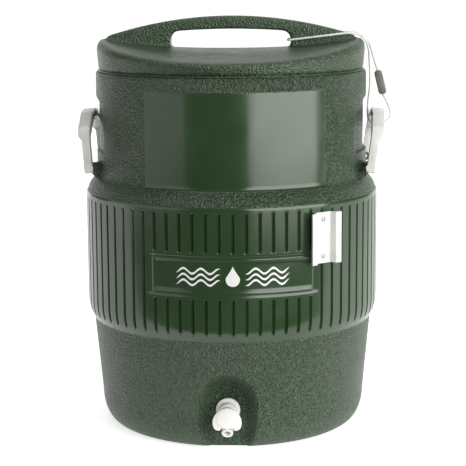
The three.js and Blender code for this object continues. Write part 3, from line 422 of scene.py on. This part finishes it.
def braided_tube(name, points, diameter):
    path, length = evenly(smooth_route(points) * MM, BRAID_STEP)
    verts = []
    for i, ((across, up), centre) in enumerate(zip(turn_frames(path), path)):
        turn = 2 * math.pi * i * BRAID_STEP / BRAID_PITCH
        for j in range(BRAID_SIDES):
            angle = 2 * math.pi * j / BRAID_SIDES
            one = math.cos(BRAID_STRANDS * (angle + turn))
            other = math.cos(BRAID_STRANDS * (angle - turn))
            radius = diameter / 2 * (0.9 + 0.05 * max(one, other) + 0.05 * one * other)
            verts.append(centre + radius * (across * math.cos(angle) + up * math.sin(angle)))
    piece = new_piece(name, verts, tube_faces(len(path), BRAID_SIDES), CORD_POLYESTER)
    layer = piece.data.uv_layers.new(name="braid")
    coords = np.empty((len(piece.data.loops), 2))
    for loop in piece.data.loops:
        ring, side_index = divmod(loop.vertex_index, BRAID_SIDES)
        coords[loop.index] = (side_index / BRAID_SIDES * 0.3, ring * BRAID_STEP / diameter * 0.1)
    layer.data.foreach_set("uv", coords.ravel())
    return piece, path, length


cord, cord_path, cord_length = braided_tube("braided_tether", CORD_POINTS, CORD_DIAMETER)
print("the tether is", round(cord_length, 3), "m long")

# %% [markdown]
# The clip is a small grey nylon block with rounded ends and a waist, in line with both ends of the cord.

# %% Tether clip, and the cord set in place of the frame's tube
def sculpted(name, node, bevel, material, segments=3, angle=35):
    """A finished copy of a frame solid: doubles merged, flats dissolved and every hard edge rounded."""
    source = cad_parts[node]
    mesh = source.data.copy()
    piece = bpy.data.objects.new(name, mesh)
    bpy.context.scene.collection.objects.link(piece)
    work = bmesh.new()
    work.from_mesh(mesh)
    bmesh.ops.remove_doubles(work, verts=work.verts, dist=2e-6)
    bmesh.ops.dissolve_limit(work, angle_limit=math.radians(2), verts=work.verts, edges=work.edges)
    work.to_mesh(mesh)
    work.free()
    mesh.materials.clear()
    mesh.materials.append(material)
    round_off = piece.modifiers.new("round_edges", "BEVEL")
    round_off.width = bevel
    round_off.segments = segments
    round_off.limit_method = "ANGLE"
    round_off.angle_limit = math.radians(angle)
    round_off.harden_normals = False
    bpy.context.view_layer.update()
    finished = bpy.data.meshes.new_from_object(piece.evaluated_get(bpy.context.evaluated_depsgraph_get()))
    piece.modifiers.clear()
    piece.data = finished
    finished.polygons.foreach_set("use_smooth", [True] * len(finished.polygons))
    shade_by_angle(piece, 40)
    return piece


def shade_by_angle(piece, degrees):
    work = bmesh.new()
    work.from_mesh(piece.data)
    for edge in work.edges:
        edge.smooth = edge.calc_face_angle(math.pi) < math.radians(degrees)
    work.to_mesh(piece.data)
    work.free()


clip = sculpted("tether_clip", "cord_clip", 1.2 * MM, CLIP_NYLON)
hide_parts("cord_clip")
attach(clip, "jug")
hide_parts("tether_cord")
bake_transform(cord)

# %% [markdown]
# ## The outer shell
# The body is one blow-moulded wall. Its outline is turned, but grooves, a label recess, the spigot's arched
# pocket, the bails' pockets and the pivot lugs all press into it or stand out of it along the radius. So the
# wall is one grid of azimuth by height whose radius is a formula: each feature is a small function, and soft
# minimum and maximum functions round the edges where features meet, as a mould does.

# %% Shell sizes
WALL = BAND_RADIUS - 14.7 * MM
LOWER = WALL + 7 * MM
BASE_INNER, BASE_WIDE, BASE_HIGH = WALL - 22 * MM, 20 * MM, 38 * MM
GROOVE_PITCH = 5.0
GROOVE_DEPTH, GROOVE_HALF = 3 * MM, 1.75 * MM
GROOVE_BOTTOM, GROOVE_TOP = 148 * MM, 297.6 * MM
LABEL_BOTTOM, LABEL_TOP = 195.8 * MM, 245.8 * MM
LABEL_CENTRE, LABEL_HALF_ANGLE = math.radians(2.5), math.radians(32.1)
LABEL_DEPTH, LABEL_GAP, FRAME_INSET = 0.8 * MM, 3 * MM, 5 * MM
POCKET_BACK, POCKET_CENTRE, POCKET_HALF, POCKET_SLOPE = WALL - 25 * MM, 54 * MM, 22.5 * MM, 0.72
PIVOT_X, PIVOT_Z = WALL + 2.5 * MM, 338 * MM
LUG_ROUND, LUG_OUTSIDE, LUG_START = 5 * MM, 61 * MM, 14.3
BAIL_FLOOR, BAIL_BOTTOM, BAIL_TOP, BAIL_HALF_ANGLE = WALL - 4 * MM, 356 * MM, 418 * MM, 23
SKIN = 2.5 * MM


def soft_min(a, b, width):
    h = np.maximum(width - np.abs(a - b), 0) / width
    return np.minimum(a, b) - h**3 * width / 6


def soft_max(a, b, width):
    return -soft_min(-a, -b, width)


def smooth_step(value, low, high):
    t = np.clip((value - low) / (high - low), 0, 1)
    return t * t * (3 - 2 * t)


# %% [markdown]
# The outline's stations: round the base's edge, up the lower wall, over the band and its shoulder, and up to
# the rim. They are close together where a feature starts or ends, and far apart where nothing happens.

# %% Shell outline
def arc_points(x, y, wide, high, start, end, steps):
    angles = np.radians(np.linspace(start, end, steps))
    return [(x + wide * math.cos(a), y + high * math.sin(a)) for a in angles]


def smooth_outline(points, steps=4):
    route = smooth_route([(r, 0, z) for r, z in points], steps)
    return [(r, z) for r, _, z in route]


def wall_radius_table():
    edge = [(BASE_INNER + BASE_WIDE, BASE_HIGH)]
    foot = smooth_outline(
        [(LOWER, 136 * MM), (LOWER + 0.6 * MM, 139 * MM), (LOWER + 3.6 * MM, 145 * MM), (LOWER + 6 * MM, 151 * MM),
         (BAND_RADIUS - 0.3 * MM, 160 * MM), (BAND_RADIUS, 166 * MM)], steps=6)
    shoulder = smooth_outline(
        [(BAND_RADIUS, 301.5 * MM), (BAND_RADIUS - 0.5 * MM, 303.6 * MM), (BAND_RADIUS - 1.9 * MM, 305.5 * MM),
         (BAND_RADIUS - 3.4 * MM, 310 * MM), (BAND_RADIUS - 5.8 * MM, 314.6 * MM), (BAND_RADIUS - 9.6 * MM, 319 * MM),
         (BAND_RADIUS - 12.6 * MM, 321.6 * MM), (WALL + 0.5 * MM, 323.4 * MM), (WALL, 326 * MM)], steps=6)
    rim = [(WALL - 0.2 * MM, RIM - 3 * MM), (WALL - 1.1 * MM, RIM - 1 * MM), (WALL - 2 * MM, RIM)]
    table = edge + foot + shoulder + rim
    heights = np.array([z for _, z in table])
    radii = np.array([r for r, _ in table])
    return heights, radii


TABLE_HEIGHTS, TABLE_RADII = wall_radius_table()


def plain_radius(z):
    return np.interp(z, TABLE_HEIGHTS, TABLE_RADII)


def shell_stations():
    """(radius, height) of each row of the outer face, from the base's centre to the rim."""
    base = [(r * MM, 0.0) for r in (60, 110, 140, 148)]
    base += arc_points(BASE_INNER, BASE_HIGH, BASE_WIDE, BASE_HIGH, -90, 0, 19)
    spans = [
        (41, 98, 20), (100, 134, 5), (136, 150, 9), (151.5, 166, 6), (174, 189, 3), (190.6, 195.2, 6),
        (196, 197.2, 2), (200.2, 202.4, 4), (207, 235, 4), (239.2, 241.4, 4), (244.6, 246.2, 3),
        (247.6, 252, 6),
        (262, 290, 4), (294, 298.4, 6), (300.5, 304, 4), (305, 324, 13), (327, 346, 15), (350, 356.8, 7),
        (359, 362, 2), (372, 414, 5), (416.5, 426, 7), (432, 446, 3), (450, 456, 6),
    ]
    rows = np.concatenate([np.linspace(a, b, n) for a, b, n in spans]) * MM
    return base + [(float(plain_radius(z)), float(z)) for z in rows]


# %% [markdown]
# Columns are set out round each groove: close together across the groove's edges, wide on the flat ribs.

# %% Shell features
def shell_columns():
    offsets = np.array([-1.75, -1.02, -0.68, -0.4, 0.0, 0.4, 0.68, 1.02, 1.75])
    centres = np.arange(-180, 180, GROOVE_PITCH) + GROOVE_PITCH / 2
    return (centres[:, None] + offsets[None, :]).ravel()


def spigot_pocket(azimuth, z, grow=0.0):
    """Radius of the arched pocket's wall in each direction: its flat back, or its sloping side."""
    back = POCKET_BACK - grow
    sine, cosine = np.sin(azimuth), np.cos(azimuth)
    above = np.maximum(z - POCKET_CENTRE, 0)
    near, far = np.full_like(azimuth, 0.05), np.full_like(azimuth, 0.3)
    for _ in range(26):
        middle = (near + far) / 2
        half = POCKET_HALF + grow + POCKET_SLOPE * (middle * cosine - back)
        inside = half > np.hypot(middle * sine, above)
        far = np.where(inside, middle, far)
        near = np.where(inside, near, middle)
    carved = soft_max(far, back / np.maximum(cosine, 0.05), 4 * MM)
    return np.where(cosine > 0.8, carved, 1.0)


def pivot_lugs(azimuth, z):
    """Radius of the lugs' faces, or 0 away from them: rounded at the pivot, with a slope below."""
    off_side = np.abs(np.abs(azimuth) - math.pi / 2)
    over = LUG_ROUND - np.sqrt(np.maximum(LUG_ROUND**2 - (z - PIVOT_Z) ** 2, 0))
    under = np.maximum(PIVOT_Z - z - LUG_ROUND / 2, 0)
    face = PIVOT_X + LUG_ROUND - np.where(z > PIVOT_Z, over, under)
    front = face / np.maximum(np.cos(off_side), 0.1)
    flank = LUG_OUTSIDE / np.maximum(np.sin(off_side), 1e-3)
    lug = soft_min(front, flank, 2.5 * MM)
    inside = (off_side > math.radians(LUG_START)) & (z > BAND_TOP) & (z < PIVOT_Z + LUG_ROUND)
    return np.where(inside, lug, 0.0)


def bail_pocket(azimuth, z):
    off_side = np.abs(np.abs(azimuth) - math.pi / 2)
    rise = np.maximum(z - BAIL_TOP, 0) * 0.667
    bank = np.maximum(off_side - math.radians(BAIL_HALF_ANGLE), 0) * WALL
    floor = BAIL_FLOOR + rise + bank
    return np.where(z > BAIL_BOTTOM, floor, 1.0)


def groove_depth(azimuth, z):
    degrees = np.degrees(azimuth)
    centre = np.floor(degrees / GROOVE_PITCH) * GROOVE_PITCH + GROOVE_PITCH / 2
    sideways = np.radians(degrees - centre) * BAND_RADIUS
    behind_label = np.abs(np.radians(centre) - LABEL_CENTRE) < LABEL_HALF_ANGLE

    def slot(bottom, top):
        past = np.maximum(np.maximum(bottom + GROOVE_HALF - z, z - (top - GROOVE_HALF)), 0)
        away = np.hypot(sideways, past)
        return 1 - smooth_step(away, 0.55 * GROOVE_HALF, 1.12 * GROOVE_HALF)

    whole = slot(GROOVE_BOTTOM, GROOVE_TOP)
    below = slot(GROOVE_BOTTOM, LABEL_BOTTOM - LABEL_GAP)
    split = np.maximum(below, slot(LABEL_TOP + LABEL_GAP, GROOVE_TOP))
    return GROOVE_DEPTH * np.where(behind_label, split, whole)


def label_depth(azimuth, z):
    """The label's recess, with a raised line all round inside its edge."""
    across = (np.abs(azimuth - LABEL_CENTRE) - LABEL_HALF_ANGLE) * BAND_RADIUS
    up = np.maximum(LABEL_BOTTOM - z, z - LABEL_TOP)
    edge = -soft_max(across, up, 3 * MM)
    recess = smooth_step(edge, 0, 0.9 * MM)
    line = smooth_step(edge, FRAME_INSET - 1.3 * MM, FRAME_INSET - 0.6 * MM)
    line *= 1 - smooth_step(edge, FRAME_INSET + 0.6 * MM, FRAME_INSET + 1.3 * MM)
    return LABEL_DEPTH * (recess - 0.85 * line)


def outer_radius(azimuth, radius, z):
    on_wall = radius > BASE_INNER - 1 * MM
    shaped = soft_max(radius, pivot_lugs(azimuth, z), 4 * MM)
    shaped = soft_min(shaped, bail_pocket(azimuth, z), 2.5 * MM)
    shaped = shaped - groove_depth(azimuth, z) * (shaped > BAND_RADIUS - 12 * MM) - label_depth(azimuth, z)
    pocketed = soft_min(shaped, spigot_pocket(azimuth, z), 3.5 * MM)
    return np.where(on_wall & (z < 0.14), pocketed, np.where(on_wall, shaped, radius))


def inner_radius(azimuth, z):
    plain = np.where(
        (z > 150 * MM) & (z < 303 * MM), BAND_RADIUS - GROOVE_DEPTH - SKIN - 0.3 * MM,
        np.interp(z, [BASE_HIGH, 138 * MM, 324 * MM, RIM],
                  [BASE_INNER + BASE_WIDE - SKIN, LOWER - SKIN, WALL - SKIN, WALL - SKIN]))
    share = np.clip((BASE_HIGH - z) / (BASE_HIGH - SKIN), 0, 1)
    edge = BASE_INNER + (BASE_WIDE - SKIN) * np.sqrt(1 - share**2)
    plain = np.where(z < BASE_HIGH, edge, plain)
    pocketed = np.minimum(plain, np.where(z < 0.14, spigot_pocket(azimuth, z, SKIN), 1.0))
    return np.minimum(pocketed, bail_pocket(azimuth, z) - SKIN)


# %% Build the shell
def grid_faces(rows, columns, first=0):
    faces = []
    for i in range(rows - 1):
        for j in range(columns):
            k = (j + 1) % columns
            low, high = first + i * columns, first + (i + 1) * columns
            faces.append((low + j, low + k, high + k, high + j))
    return faces


def on_cylinder(azimuth, radius, z):
    return np.stack([radius * np.sin(azimuth), -radius * np.cos(azimuth), z], axis=-1)


def build_shell():
    azimuth = np.radians(shell_columns())
    rows = []
    for radius, z in shell_stations():
        height = np.full_like(azimuth, z)
        shaped = outer_radius(azimuth, np.full_like(azimuth, radius), height)
        shaped = shaped if radius > 0.13 else np.full_like(azimuth, radius)
        rows.append(on_cylinder(azimuth, shaped, height))
    mouth = WALL - 8.7 * MM
    collar = (WALL - SKIN, RIM), (WALL - SKIN, RIM - 4 * MM), (mouth, RIM - 4 * MM), (mouth, RIM - 7 * MM)
    for radius, z in collar:
        rows.append(on_cylinder(azimuth, np.full_like(azimuth, radius), np.full_like(azimuth, z)))
    for z in np.array([442, 424, 418, 357, 350, 325, 302, 152, 138, 100, 84, 70, 56, 40, 22, 12, 5, 2.6]) * MM:
        height = np.full_like(azimuth, z)
        rows.append(on_cylinder(azimuth, inner_radius(azimuth, height), height))
    rows.append(on_cylinder(azimuth, np.full_like(azimuth, 60 * MM), np.full_like(azimuth, SKIN)))
    columns = len(azimuth)
    verts = np.concatenate([*rows, [[0, 0, 0], [0, 0, SKIN]]])
    faces = grid_faces(len(rows), columns)
    outer_pole, inner_pole = len(verts) - 2, len(verts) - 1
    last = (len(rows) - 1) * columns
    for j in range(columns):
        k = (j + 1) % columns
        faces.append((outer_pole, k, j))
        faces.append((inner_pole, last + j, last + k))
    return new_piece("moulded_body", verts, faces, SHELL_GREEN)


shell = outward(build_shell())
shade_by_angle(shell, 50)
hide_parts("outer_shell")
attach(shell, "jug")
print("the body has", len(shell.data.polygons), "faces")

# %% [markdown]
# ## The label
# A drop between two waves stands for what the jug holds. Each shape is a thin slab of ink wrapped round the
# recess's floor, drawn from a sine for the waves and a circle that closes to a point for the drop.

# %% Label marks
LABEL_MIDDLE = (LABEL_BOTTOM + LABEL_TOP) / 2
INK_RADIUS = BAND_RADIUS - LABEL_DEPTH + 0.05 * MM
INK_THICKNESS = 0.25 * MM


def ink_slab(name, front):
    """Wraps a strip of (left edge, right edge) points, as (x, z) pairs in metres, round the label's floor."""
    verts = []
    for layer in (INK_RADIUS, INK_RADIUS + INK_THICKNESS):
        for low, high in front:
            for x, z in (low, high):
                verts.append(on_cylinder(LABEL_CENTRE + x / BAND_RADIUS, layer, LABEL_MIDDLE + z))
    count = len(front)
    faces = []
    for i in range(count - 1):
        a, b, c, d = 2 * i, 2 * i + 1, 2 * i + 3, 2 * i + 2
        up = 2 * count
        faces += [(a, b, c, d), (d + up, c + up, b + up, a + up), (a, d, d + up, a + up), (b, b + up, c + up, c)]
    ends = [(0, 2 * count, 2 * count + 1, 1), (2 * count - 2, 2 * count - 1, 4 * count - 1, 4 * count - 2)]
    return outward(new_piece(name, verts, faces + ends, PRINT_WHITE, smooth=False))


def wave(left, right, z, height=3.2 * MM, thickness=2.6 * MM, length=22 * MM):
    xs = np.linspace(left, right, 60)
    taper = np.minimum(1, np.minimum(xs - left, right - xs) / (5 * MM))
    middle = z + height * np.sin(2 * math.pi * xs / length)
    half = thickness * taper / 2 + 1e-5
    return [((x, m - h), (x, m + h)) for x, m, h in zip(xs, middle, half)]


def drop(radius=8.5 * MM, rise=11 * MM):
    strip = []
    for t in np.linspace(-1, 1, 40):
        if t < 0.35:
            z = radius * t
            half = math.sqrt(max(radius**2 - z**2, 1e-9))
        else:
            share = (t - 0.35) / 0.65
            z = radius * 0.35 + share * (rise + radius * 0.65 - radius * 0.35)
            half = math.sqrt(radius**2 * (1 - 0.1225)) * (1 - share) ** 1.25 + 1e-5
        strip.append(((-half, z - 3 * MM), (half, z - 3 * MM)))
    return strip


marks = [("label_drop", drop())]
for side_name, sign in (("left", -1), ("right", 1)):
    for place_name, z in (("upper", 7 * MM), ("middle", 0), ("lower", -7 * MM)):
        inner, outer = 15 * MM, 70 * MM
        ends = sorted((sign * inner, sign * outer))
        marks.append((f"label_wave_{side_name}_{place_name}", wave(ends[0], ends[1], z)))
for name, strip in marks:
    mark = ink_slab(name, strip)
    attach(mark, "jug")
print("the label has", len(marks), "marks")

# %% [markdown]
# ## The lid
# The lid is one moulding: a saddle-shaped seat with an upright web across it, and a hand opening through the
# web. A voxel remesh melts seat and web together and a few rounds of smoothing give the soft fillets of the
# real moulding. The thin lip at its foot is a separate ring, because the remesh would lose it.

# %% Lid sizes and seat
LID_LOW, LID_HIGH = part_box("lid_shell")
LID_RADIUS = LID_HIGH.x
LID_FOOT = LID_LOW.z + 2.2 * MM
SEAT = RIM + 28 * MM
HANDLE_TOP = LID_HIGH.z
HANDLE_SAG, HANDLE_HALF, HANDLE_THICK = 25.5 * MM, 160 * MM, 15 * MM
OPENING_HALF, OPENING_TOP, OPENING_END, OPENING_CORNER = 77 * MM, RIM + 52.5 * MM, RIM + 50.2 * MM, 13 * MM
LID_VOXEL = 2.1 * MM


def seat_height(x, y):
    across = np.minimum(np.abs(x) / LID_RADIUS, 1)
    along = np.minimum(np.abs(y) / LID_RADIUS, 1)
    return SEAT + 14 * MM * across**2.6 - 10.5 * MM * along**1.15


def bent(points):
    """Stretches a flat-topped turning from the lid's foot up to the seat."""
    rise = points[:, 2] - LID_FOOT
    target = seat_height(points[:, 0], points[:, 1]) - LID_FOOT
    points[:, 2] = np.where(rise > 0, LID_FOOT + rise * target / (SEAT - LID_FOOT), points[:, 2])
    return points


def lid_body():
    edge = arc_points(LID_RADIUS - 9 * MM, SEAT - 9 * MM, 9 * MM, 9 * MM, 0, 90, 9)
    profile = [(LID_RADIUS - 2 * MM, LID_FOOT), (LID_RADIUS - 1.2 * MM, LID_FOOT + 7 * MM), *edge]
    profile += [(r * MM, SEAT) for r in range(156, 0, -12)]
    azimuth = np.radians(np.arange(0, 360, 2.0))
    rows = [on_cylinder(azimuth, np.full_like(azimuth, r), np.full_like(azimuth, z)) for r, z in profile]
    points = bent(np.concatenate([*rows, [[0, 0, LID_FOOT], [0, 0, SEAT]]]))
    columns = len(azimuth)
    faces = grid_faces(len(rows), columns)
    last = (len(rows) - 1) * columns
    for j in range(columns):
        k = (j + 1) % columns
        faces += [(len(points) - 2, k, j), (len(points) - 1, last + j, last + k)]
    return outward(new_piece("lid_body", points, faces))


def quadratic(start, control, end, steps=12):
    ts = np.linspace(0, 1, steps)[1:]
    start, control, end = (np.array(p) for p in (start, control, end))
    return [tuple((1 - t) ** 2 * start + 2 * t * (1 - t) * control + t * t * end) for t in ts]


def slab(name, outline, half_thickness):
    """Extrudes an XZ outline along Y, both ways from y = 0."""
    count = len(outline)
    verts = [(x, -half_thickness, z) for x, z in outline] + [(x, half_thickness, z) for x, z in outline]
    faces = [tuple(range(count)), tuple(reversed(range(count, 2 * count)))]
    faces += [(i, i + count, (i + 1) % count + count, (i + 1) % count) for i in range(count)]
    return outward(new_piece(name, verts, faces))


def apply_modifiers(piece):
    bpy.context.view_layer.update()
    finished = bpy.data.meshes.new_from_object(piece.evaluated_get(bpy.context.evaluated_depsgraph_get()))
    piece.modifiers.clear()
    piece.data = finished
    return piece


def handle_web():
    ends = HANDLE_TOP - HANDLE_SAG
    start, finish = (HANDLE_HALF, ends), (-HANDLE_HALF, ends)
    top = quadratic(start, (0, HANDLE_TOP + HANDLE_SAG), finish, 40)
    foot = SEAT - 9 * MM
    web = slab("web", [(-HANDLE_HALF, foot), (HANDLE_HALF, foot), start, *top], HANDLE_THICK)
    rounding = web.modifiers.new("round", "BEVEL")
    rounding.width = 5 * MM
    rounding.segments = 5
    rounding.limit_method = "ANGLE"
    rounding.angle_limit = math.radians(50)
    apply_modifiers(web)
    half, corner = OPENING_HALF, OPENING_CORNER
    hole = [(-half, SEAT - 4 * MM), (half, SEAT - 4 * MM), (half, OPENING_END - corner)]
    hole += quadratic((half, OPENING_END - corner), (half, OPENING_END), (half - corner, OPENING_END), 8)
    crest = (0, 2 * OPENING_TOP - OPENING_END)
    hole += quadratic((half - corner, OPENING_END), crest, (corner - half, OPENING_END), 20)
    hole += quadratic((corner - half, OPENING_END), (-half, OPENING_END), (-half, OPENING_END - corner), 8)
    cutter = slab("opening", hole, 40 * MM)
    cut = web.modifiers.new("opening", "BOOLEAN")
    cut.operation, cut.object, cut.solver = "DIFFERENCE", cutter, "EXACT"
    apply_modifiers(web)
    bpy.data.objects.remove(cutter)
    return web


def melted(body, web):
    join = body.modifiers.new("join", "BOOLEAN")
    join.operation, join.object, join.solver = "UNION", web, "EXACT"
    melt = body.modifiers.new("melt", "REMESH")
    melt.mode, melt.voxel_size, melt.use_smooth_shade = "VOXEL", LID_VOXEL, True
    ease = body.modifiers.new("ease", "SMOOTH")
    ease.factor, ease.iterations = 0.5, 7
    apply_modifiers(body)
    bpy.data.objects.remove(web)
    return body


def ring_piece(profile, name):
    azimuth = np.radians(np.arange(0, 360, 2.0))
    rows = [on_cylinder(azimuth, np.full_like(azimuth, r), np.full_like(azimuth, z)) for r, z in profile]
    columns = len(azimuth)
    faces = grid_faces(len(rows), columns)
    last = (len(rows) - 1) * columns
    faces += [(last + j, last + (j + 1) % columns, (j + 1) % columns, j) for j in range(columns)]
    return outward(new_piece(name, np.concatenate(rows), faces))


def join_into(target, *others):
    work = bmesh.new()
    work.from_mesh(target.data)
    for other in others:
        work.from_mesh(other.data)
        bpy.data.objects.remove(other)
    work.to_mesh(target.data)
    work.free()
    return target


# %% Build the lid
lid = melted(lid_body(), handle_web())
lip_outer, lip_inner = LID_RADIUS - 1.3 * MM, LID_RADIUS - 8 * MM
lip = ring_piece(
    [(lip_inner, LID_LOW.z), (lip_outer - 0.5 * MM, LID_LOW.z), (lip_outer, LID_LOW.z + 0.5 * MM),
     (lip_outer, LID_LOW.z + 1.6 * MM), (lip_outer - 0.6 * MM, LID_LOW.z + 2.1 * MM),
     (LID_RADIUS - 3.2 * MM, LID_FOOT + 0.2 * MM), (LID_RADIUS - 3.2 * MM, LID_FOOT + 2 * MM),
     (lip_inner, LID_FOOT + 2 * MM)], "lid_lip")
lid = join_into(lid, lip)
lid.name = "moulded_lid"
lid.data.materials.clear()
lid.data.materials.append(LID_GREEN)
lid.data.polygons.foreach_set("use_smooth", [True] * len(lid.data.polygons))
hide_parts("lid_shell")
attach(lid, "lid")
print("the lid has", len(lid.data.polygons), "faces")

# %% [markdown]
# ## Bails, spigot and bracket
# These are small injection mouldings. Their frame solids have the right shape, so a copy of each is merged,
# its flats are dissolved and its hard edges are rounded off, and it takes the satin white polypropylene.

# %% White mouldings
WHITE_PIECES = [
    ("left_bail_moulding", "bail_left", 1.6 * MM, "left_bail"),
    ("right_bail_moulding", "bail_right", 1.6 * MM, "right_bail"),
    ("spigot_moulding", "spigot_body", 0.5 * MM, "jug"),
    ("push_button_moulding", "push_button", 0.45 * MM, "button"),
    ("bracket_moulding", "cup_bracket", 0.6 * MM, "jug"),
    ("spigot_nut", "spigot_lock_nut", 0.8 * MM, "jug"),
]
for name, node, width, body in WHITE_PIECES:
    piece = sculpted(name, node, width, WHITE_PLASTIC)
    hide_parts(node)
    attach(piece, body)
print(len(WHITE_PIECES), "white mouldings are finished")

# %% [markdown]
# ## Bracket screws
# Two pan-head screws hold the bracket, each with a domed head and a cross recess. Geometry Nodes build one
# screw from its sizes, cut the recess, and put a copy on each point of a two-point mesh.

# %% Screw tree
def screw_tree():
    tree = bpy.data.node_groups.new("pan_head_screws", "GeometryNodeTree")
    interface = tree.interface
    interface.new_socket("Geometry", in_out="OUTPUT", socket_type="NodeSocketGeometry")
    interface.new_socket("Points", in_out="INPUT", socket_type="NodeSocketGeometry")
    for name in ("Head Radius", "Head Height", "Shank Radius", "Shank Length", "Recess Width"):
        interface.new_socket(name, in_out="INPUT", socket_type="NodeSocketFloat")
    interface.new_socket("Turn", in_out="INPUT", socket_type="NodeSocketVector")
    interface.new_socket("Finish", in_out="INPUT", socket_type="NodeSocketMaterial")
    given = add(tree, "NodeGroupInput").outputs
    ball = {"Segments": 32, "Rings": 16, "Radius": 1.0}
    dome = add(tree, "GeometryNodeMeshUVSphere", ball).outputs["Mesh"]
    across, tall = given["Head Radius"], given["Head Height"]
    head_size = add(tree, "ShaderNodeCombineXYZ", {0: across, 1: across, 2: tall}).outputs[0]
    head = add(tree, "GeometryNodeTransform", {"Geometry": dome, "Scale": head_size}).outputs[0]
    shank_links = {"Vertices": 24, "Radius": given["Shank Radius"], "Depth": given["Shank Length"]}
    shank = add(tree, "GeometryNodeMeshCylinder", shank_links).outputs["Mesh"]
    half = add(tree, "ShaderNodeMath", {0: given["Shank Length"], 1: -0.5}, operation="MULTIPLY").outputs[0]
    down = add(tree, "ShaderNodeCombineXYZ", {2: half}).outputs[0]
    lowered = add(tree, "GeometryNodeTransform", {"Geometry": shank, "Translation": down}).outputs[0]
    solid = add(tree, "GeometryNodeMeshBoolean", operation="UNION")
    tree.links.new(head, solid.inputs["Mesh 2"])
    tree.links.new(lowered, solid.inputs["Mesh 2"])
    cut = add(tree, "GeometryNodeMeshBoolean", {"Mesh 1": solid.outputs["Mesh"]}, operation="DIFFERENCE")
    for long_axis in (0, 1):
        parts = {0: given["Recess Width"], 1: given["Recess Width"], 2: tall}
        parts[long_axis] = across
        size = add(tree, "ShaderNodeCombineXYZ", parts).outputs[0]
        bar = add(tree, "GeometryNodeMeshCube", {"Size": size}).outputs["Mesh"]
        rise = add(tree, "ShaderNodeCombineXYZ", {2: tall}).outputs[0]
        raised = add(tree, "GeometryNodeTransform", {"Geometry": bar, "Translation": rise}).outputs[0]
        tree.links.new(raised, cut.inputs["Mesh 2"])
    placing = {"Points": given["Points"], "Instance": cut.outputs["Mesh"]}
    copies = add(tree, "GeometryNodeInstanceOnPoints", placing)
    tree.links.new(given["Turn"], copies.inputs["Rotation"])
    real = add(tree, "GeometryNodeRealizeInstances", {"Geometry": copies.outputs[0]}).outputs[0]
    finish = add(tree, "GeometryNodeSetMaterial", {"Geometry": real, "Material": given["Finish"]}).outputs[0]
    add(tree, "NodeGroupOutput", {"Geometry": finish})
    return tree


# %% Place the screws
SCREW_SIZES = {
    "Head Radius": 2.8 * MM, "Head Height": 1.5 * MM, "Shank Radius": 1.3 * MM, "Shank Length": 8 * MM,
    "Recess Width": 0.7 * MM,
}
BRACKET_AZIMUTH = math.radians(37.5)
outward_axis = Vector((math.sin(BRACKET_AZIMUTH), -math.cos(BRACKET_AZIMUTH), 0))


def screw_seat(node):
    """Where the head of a frame screw meets the bracket."""
    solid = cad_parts[node]
    corners = [solid.matrix_world @ v.co for v in solid.data.vertices]
    middle = sum(corners, Vector()) / len(corners)
    top = max(corner.dot(outward_axis) for corner in corners)
    return middle + outward_axis * (top - SCREW_SIZES["Head Height"] - 0.1 * MM - middle.dot(outward_axis))


SCREW_NODES = ("bracket_screw_upper", "bracket_screw_lower")
screws = new_piece("bracket_screws", [screw_seat(node) for node in SCREW_NODES], [])
tree = screw_tree()
maker = screws.modifiers.new("screws", "NODES")
maker.node_group = tree
turn = outward_axis.to_track_quat("Z", "Y").to_euler()
settings = {**SCREW_SIZES, "Turn": tuple(turn), "Finish": STEEL}
for item in tree.interface.items_tree:
    if item.in_out == "INPUT" and item.name in settings:
        maker[item.identifier] = settings[item.name]
apply_modifiers(screws)
shade_by_angle(screws, 35)
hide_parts(*SCREW_NODES)
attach(screws, "jug")
print("the two screws have", len(screws.data.polygons), "faces")

# %% [markdown]
# ## Return spring
# The spring sits between the spigot's head and the paddle, and in the real jug it shortens as the button is
# pressed. Here it is a still copy of the frame's coil, riding on the jug.

# %% Return spring
spring = bpy.data.objects.new("coiled_return_spring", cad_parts["return_spring"].data.copy())
bpy.context.scene.collection.objects.link(spring)
spring.data.materials.clear()
spring.data.materials.append(STEEL)
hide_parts("return_spring")
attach(spring, "jug")
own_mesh(spring)

# %% [markdown]
# ## Nodes that keep their frame shape
# Liner, foam, gaskets, valve and spring are inside the jug. The frame solids of all of these but the spring
# stay, and so do the bail pins', with finished materials.

# %% Carried-over nodes
CARRIED = {
    "inner_liner": LINER_WHITE, "lid_liner": LINER_WHITE, "foam_insulation": FOAM, "lid_foam": FOAM,
    "spigot_outer_gasket": RUBBER, "spigot_inner_gasket": RUBBER, "valve_seal": RUBBER,
    "valve_stem": WHITE_PLASTIC,
    "bail_pin_left_front": WHITE_PLASTIC, "bail_pin_left_rear": WHITE_PLASTIC,
    "bail_pin_right_front": WHITE_PLASTIC, "bail_pin_right_rear": WHITE_PLASTIC,
}
for node, material in CARRIED.items():
    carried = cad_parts[node]
    carried.data.materials.clear()
    carried.data.materials.append(material)
print(len(CARRIED), "nodes keep their frame shape")

# %% A box-corners helper and the floor's material
def corners(box):
    return [list(map(float, corner)) for corner in box]


floor_material, floor_tree, floor_shader, floor_place = new_material("matt_white_sweep")
floor_shader.inputs["Base Color"].default_value = linear("#f4f4f3")
floor_shader.inputs["Roughness"].default_value = 0.9
floor_shader.inputs["Emission Color"].default_value = (1, 1, 1, 1)
floor_depth = add(floor_tree, "ShaderNodeSeparateXYZ", {"Vector": floor_place}).outputs["Y"]
floor_glow = ramp(floor_tree, floor_depth, 1.0, 3.5, 0.66, 1.0)
floor_tree.links.new(floor_glow, floor_shader.inputs["Emission Strength"])
floor.data.materials.append(floor_material)
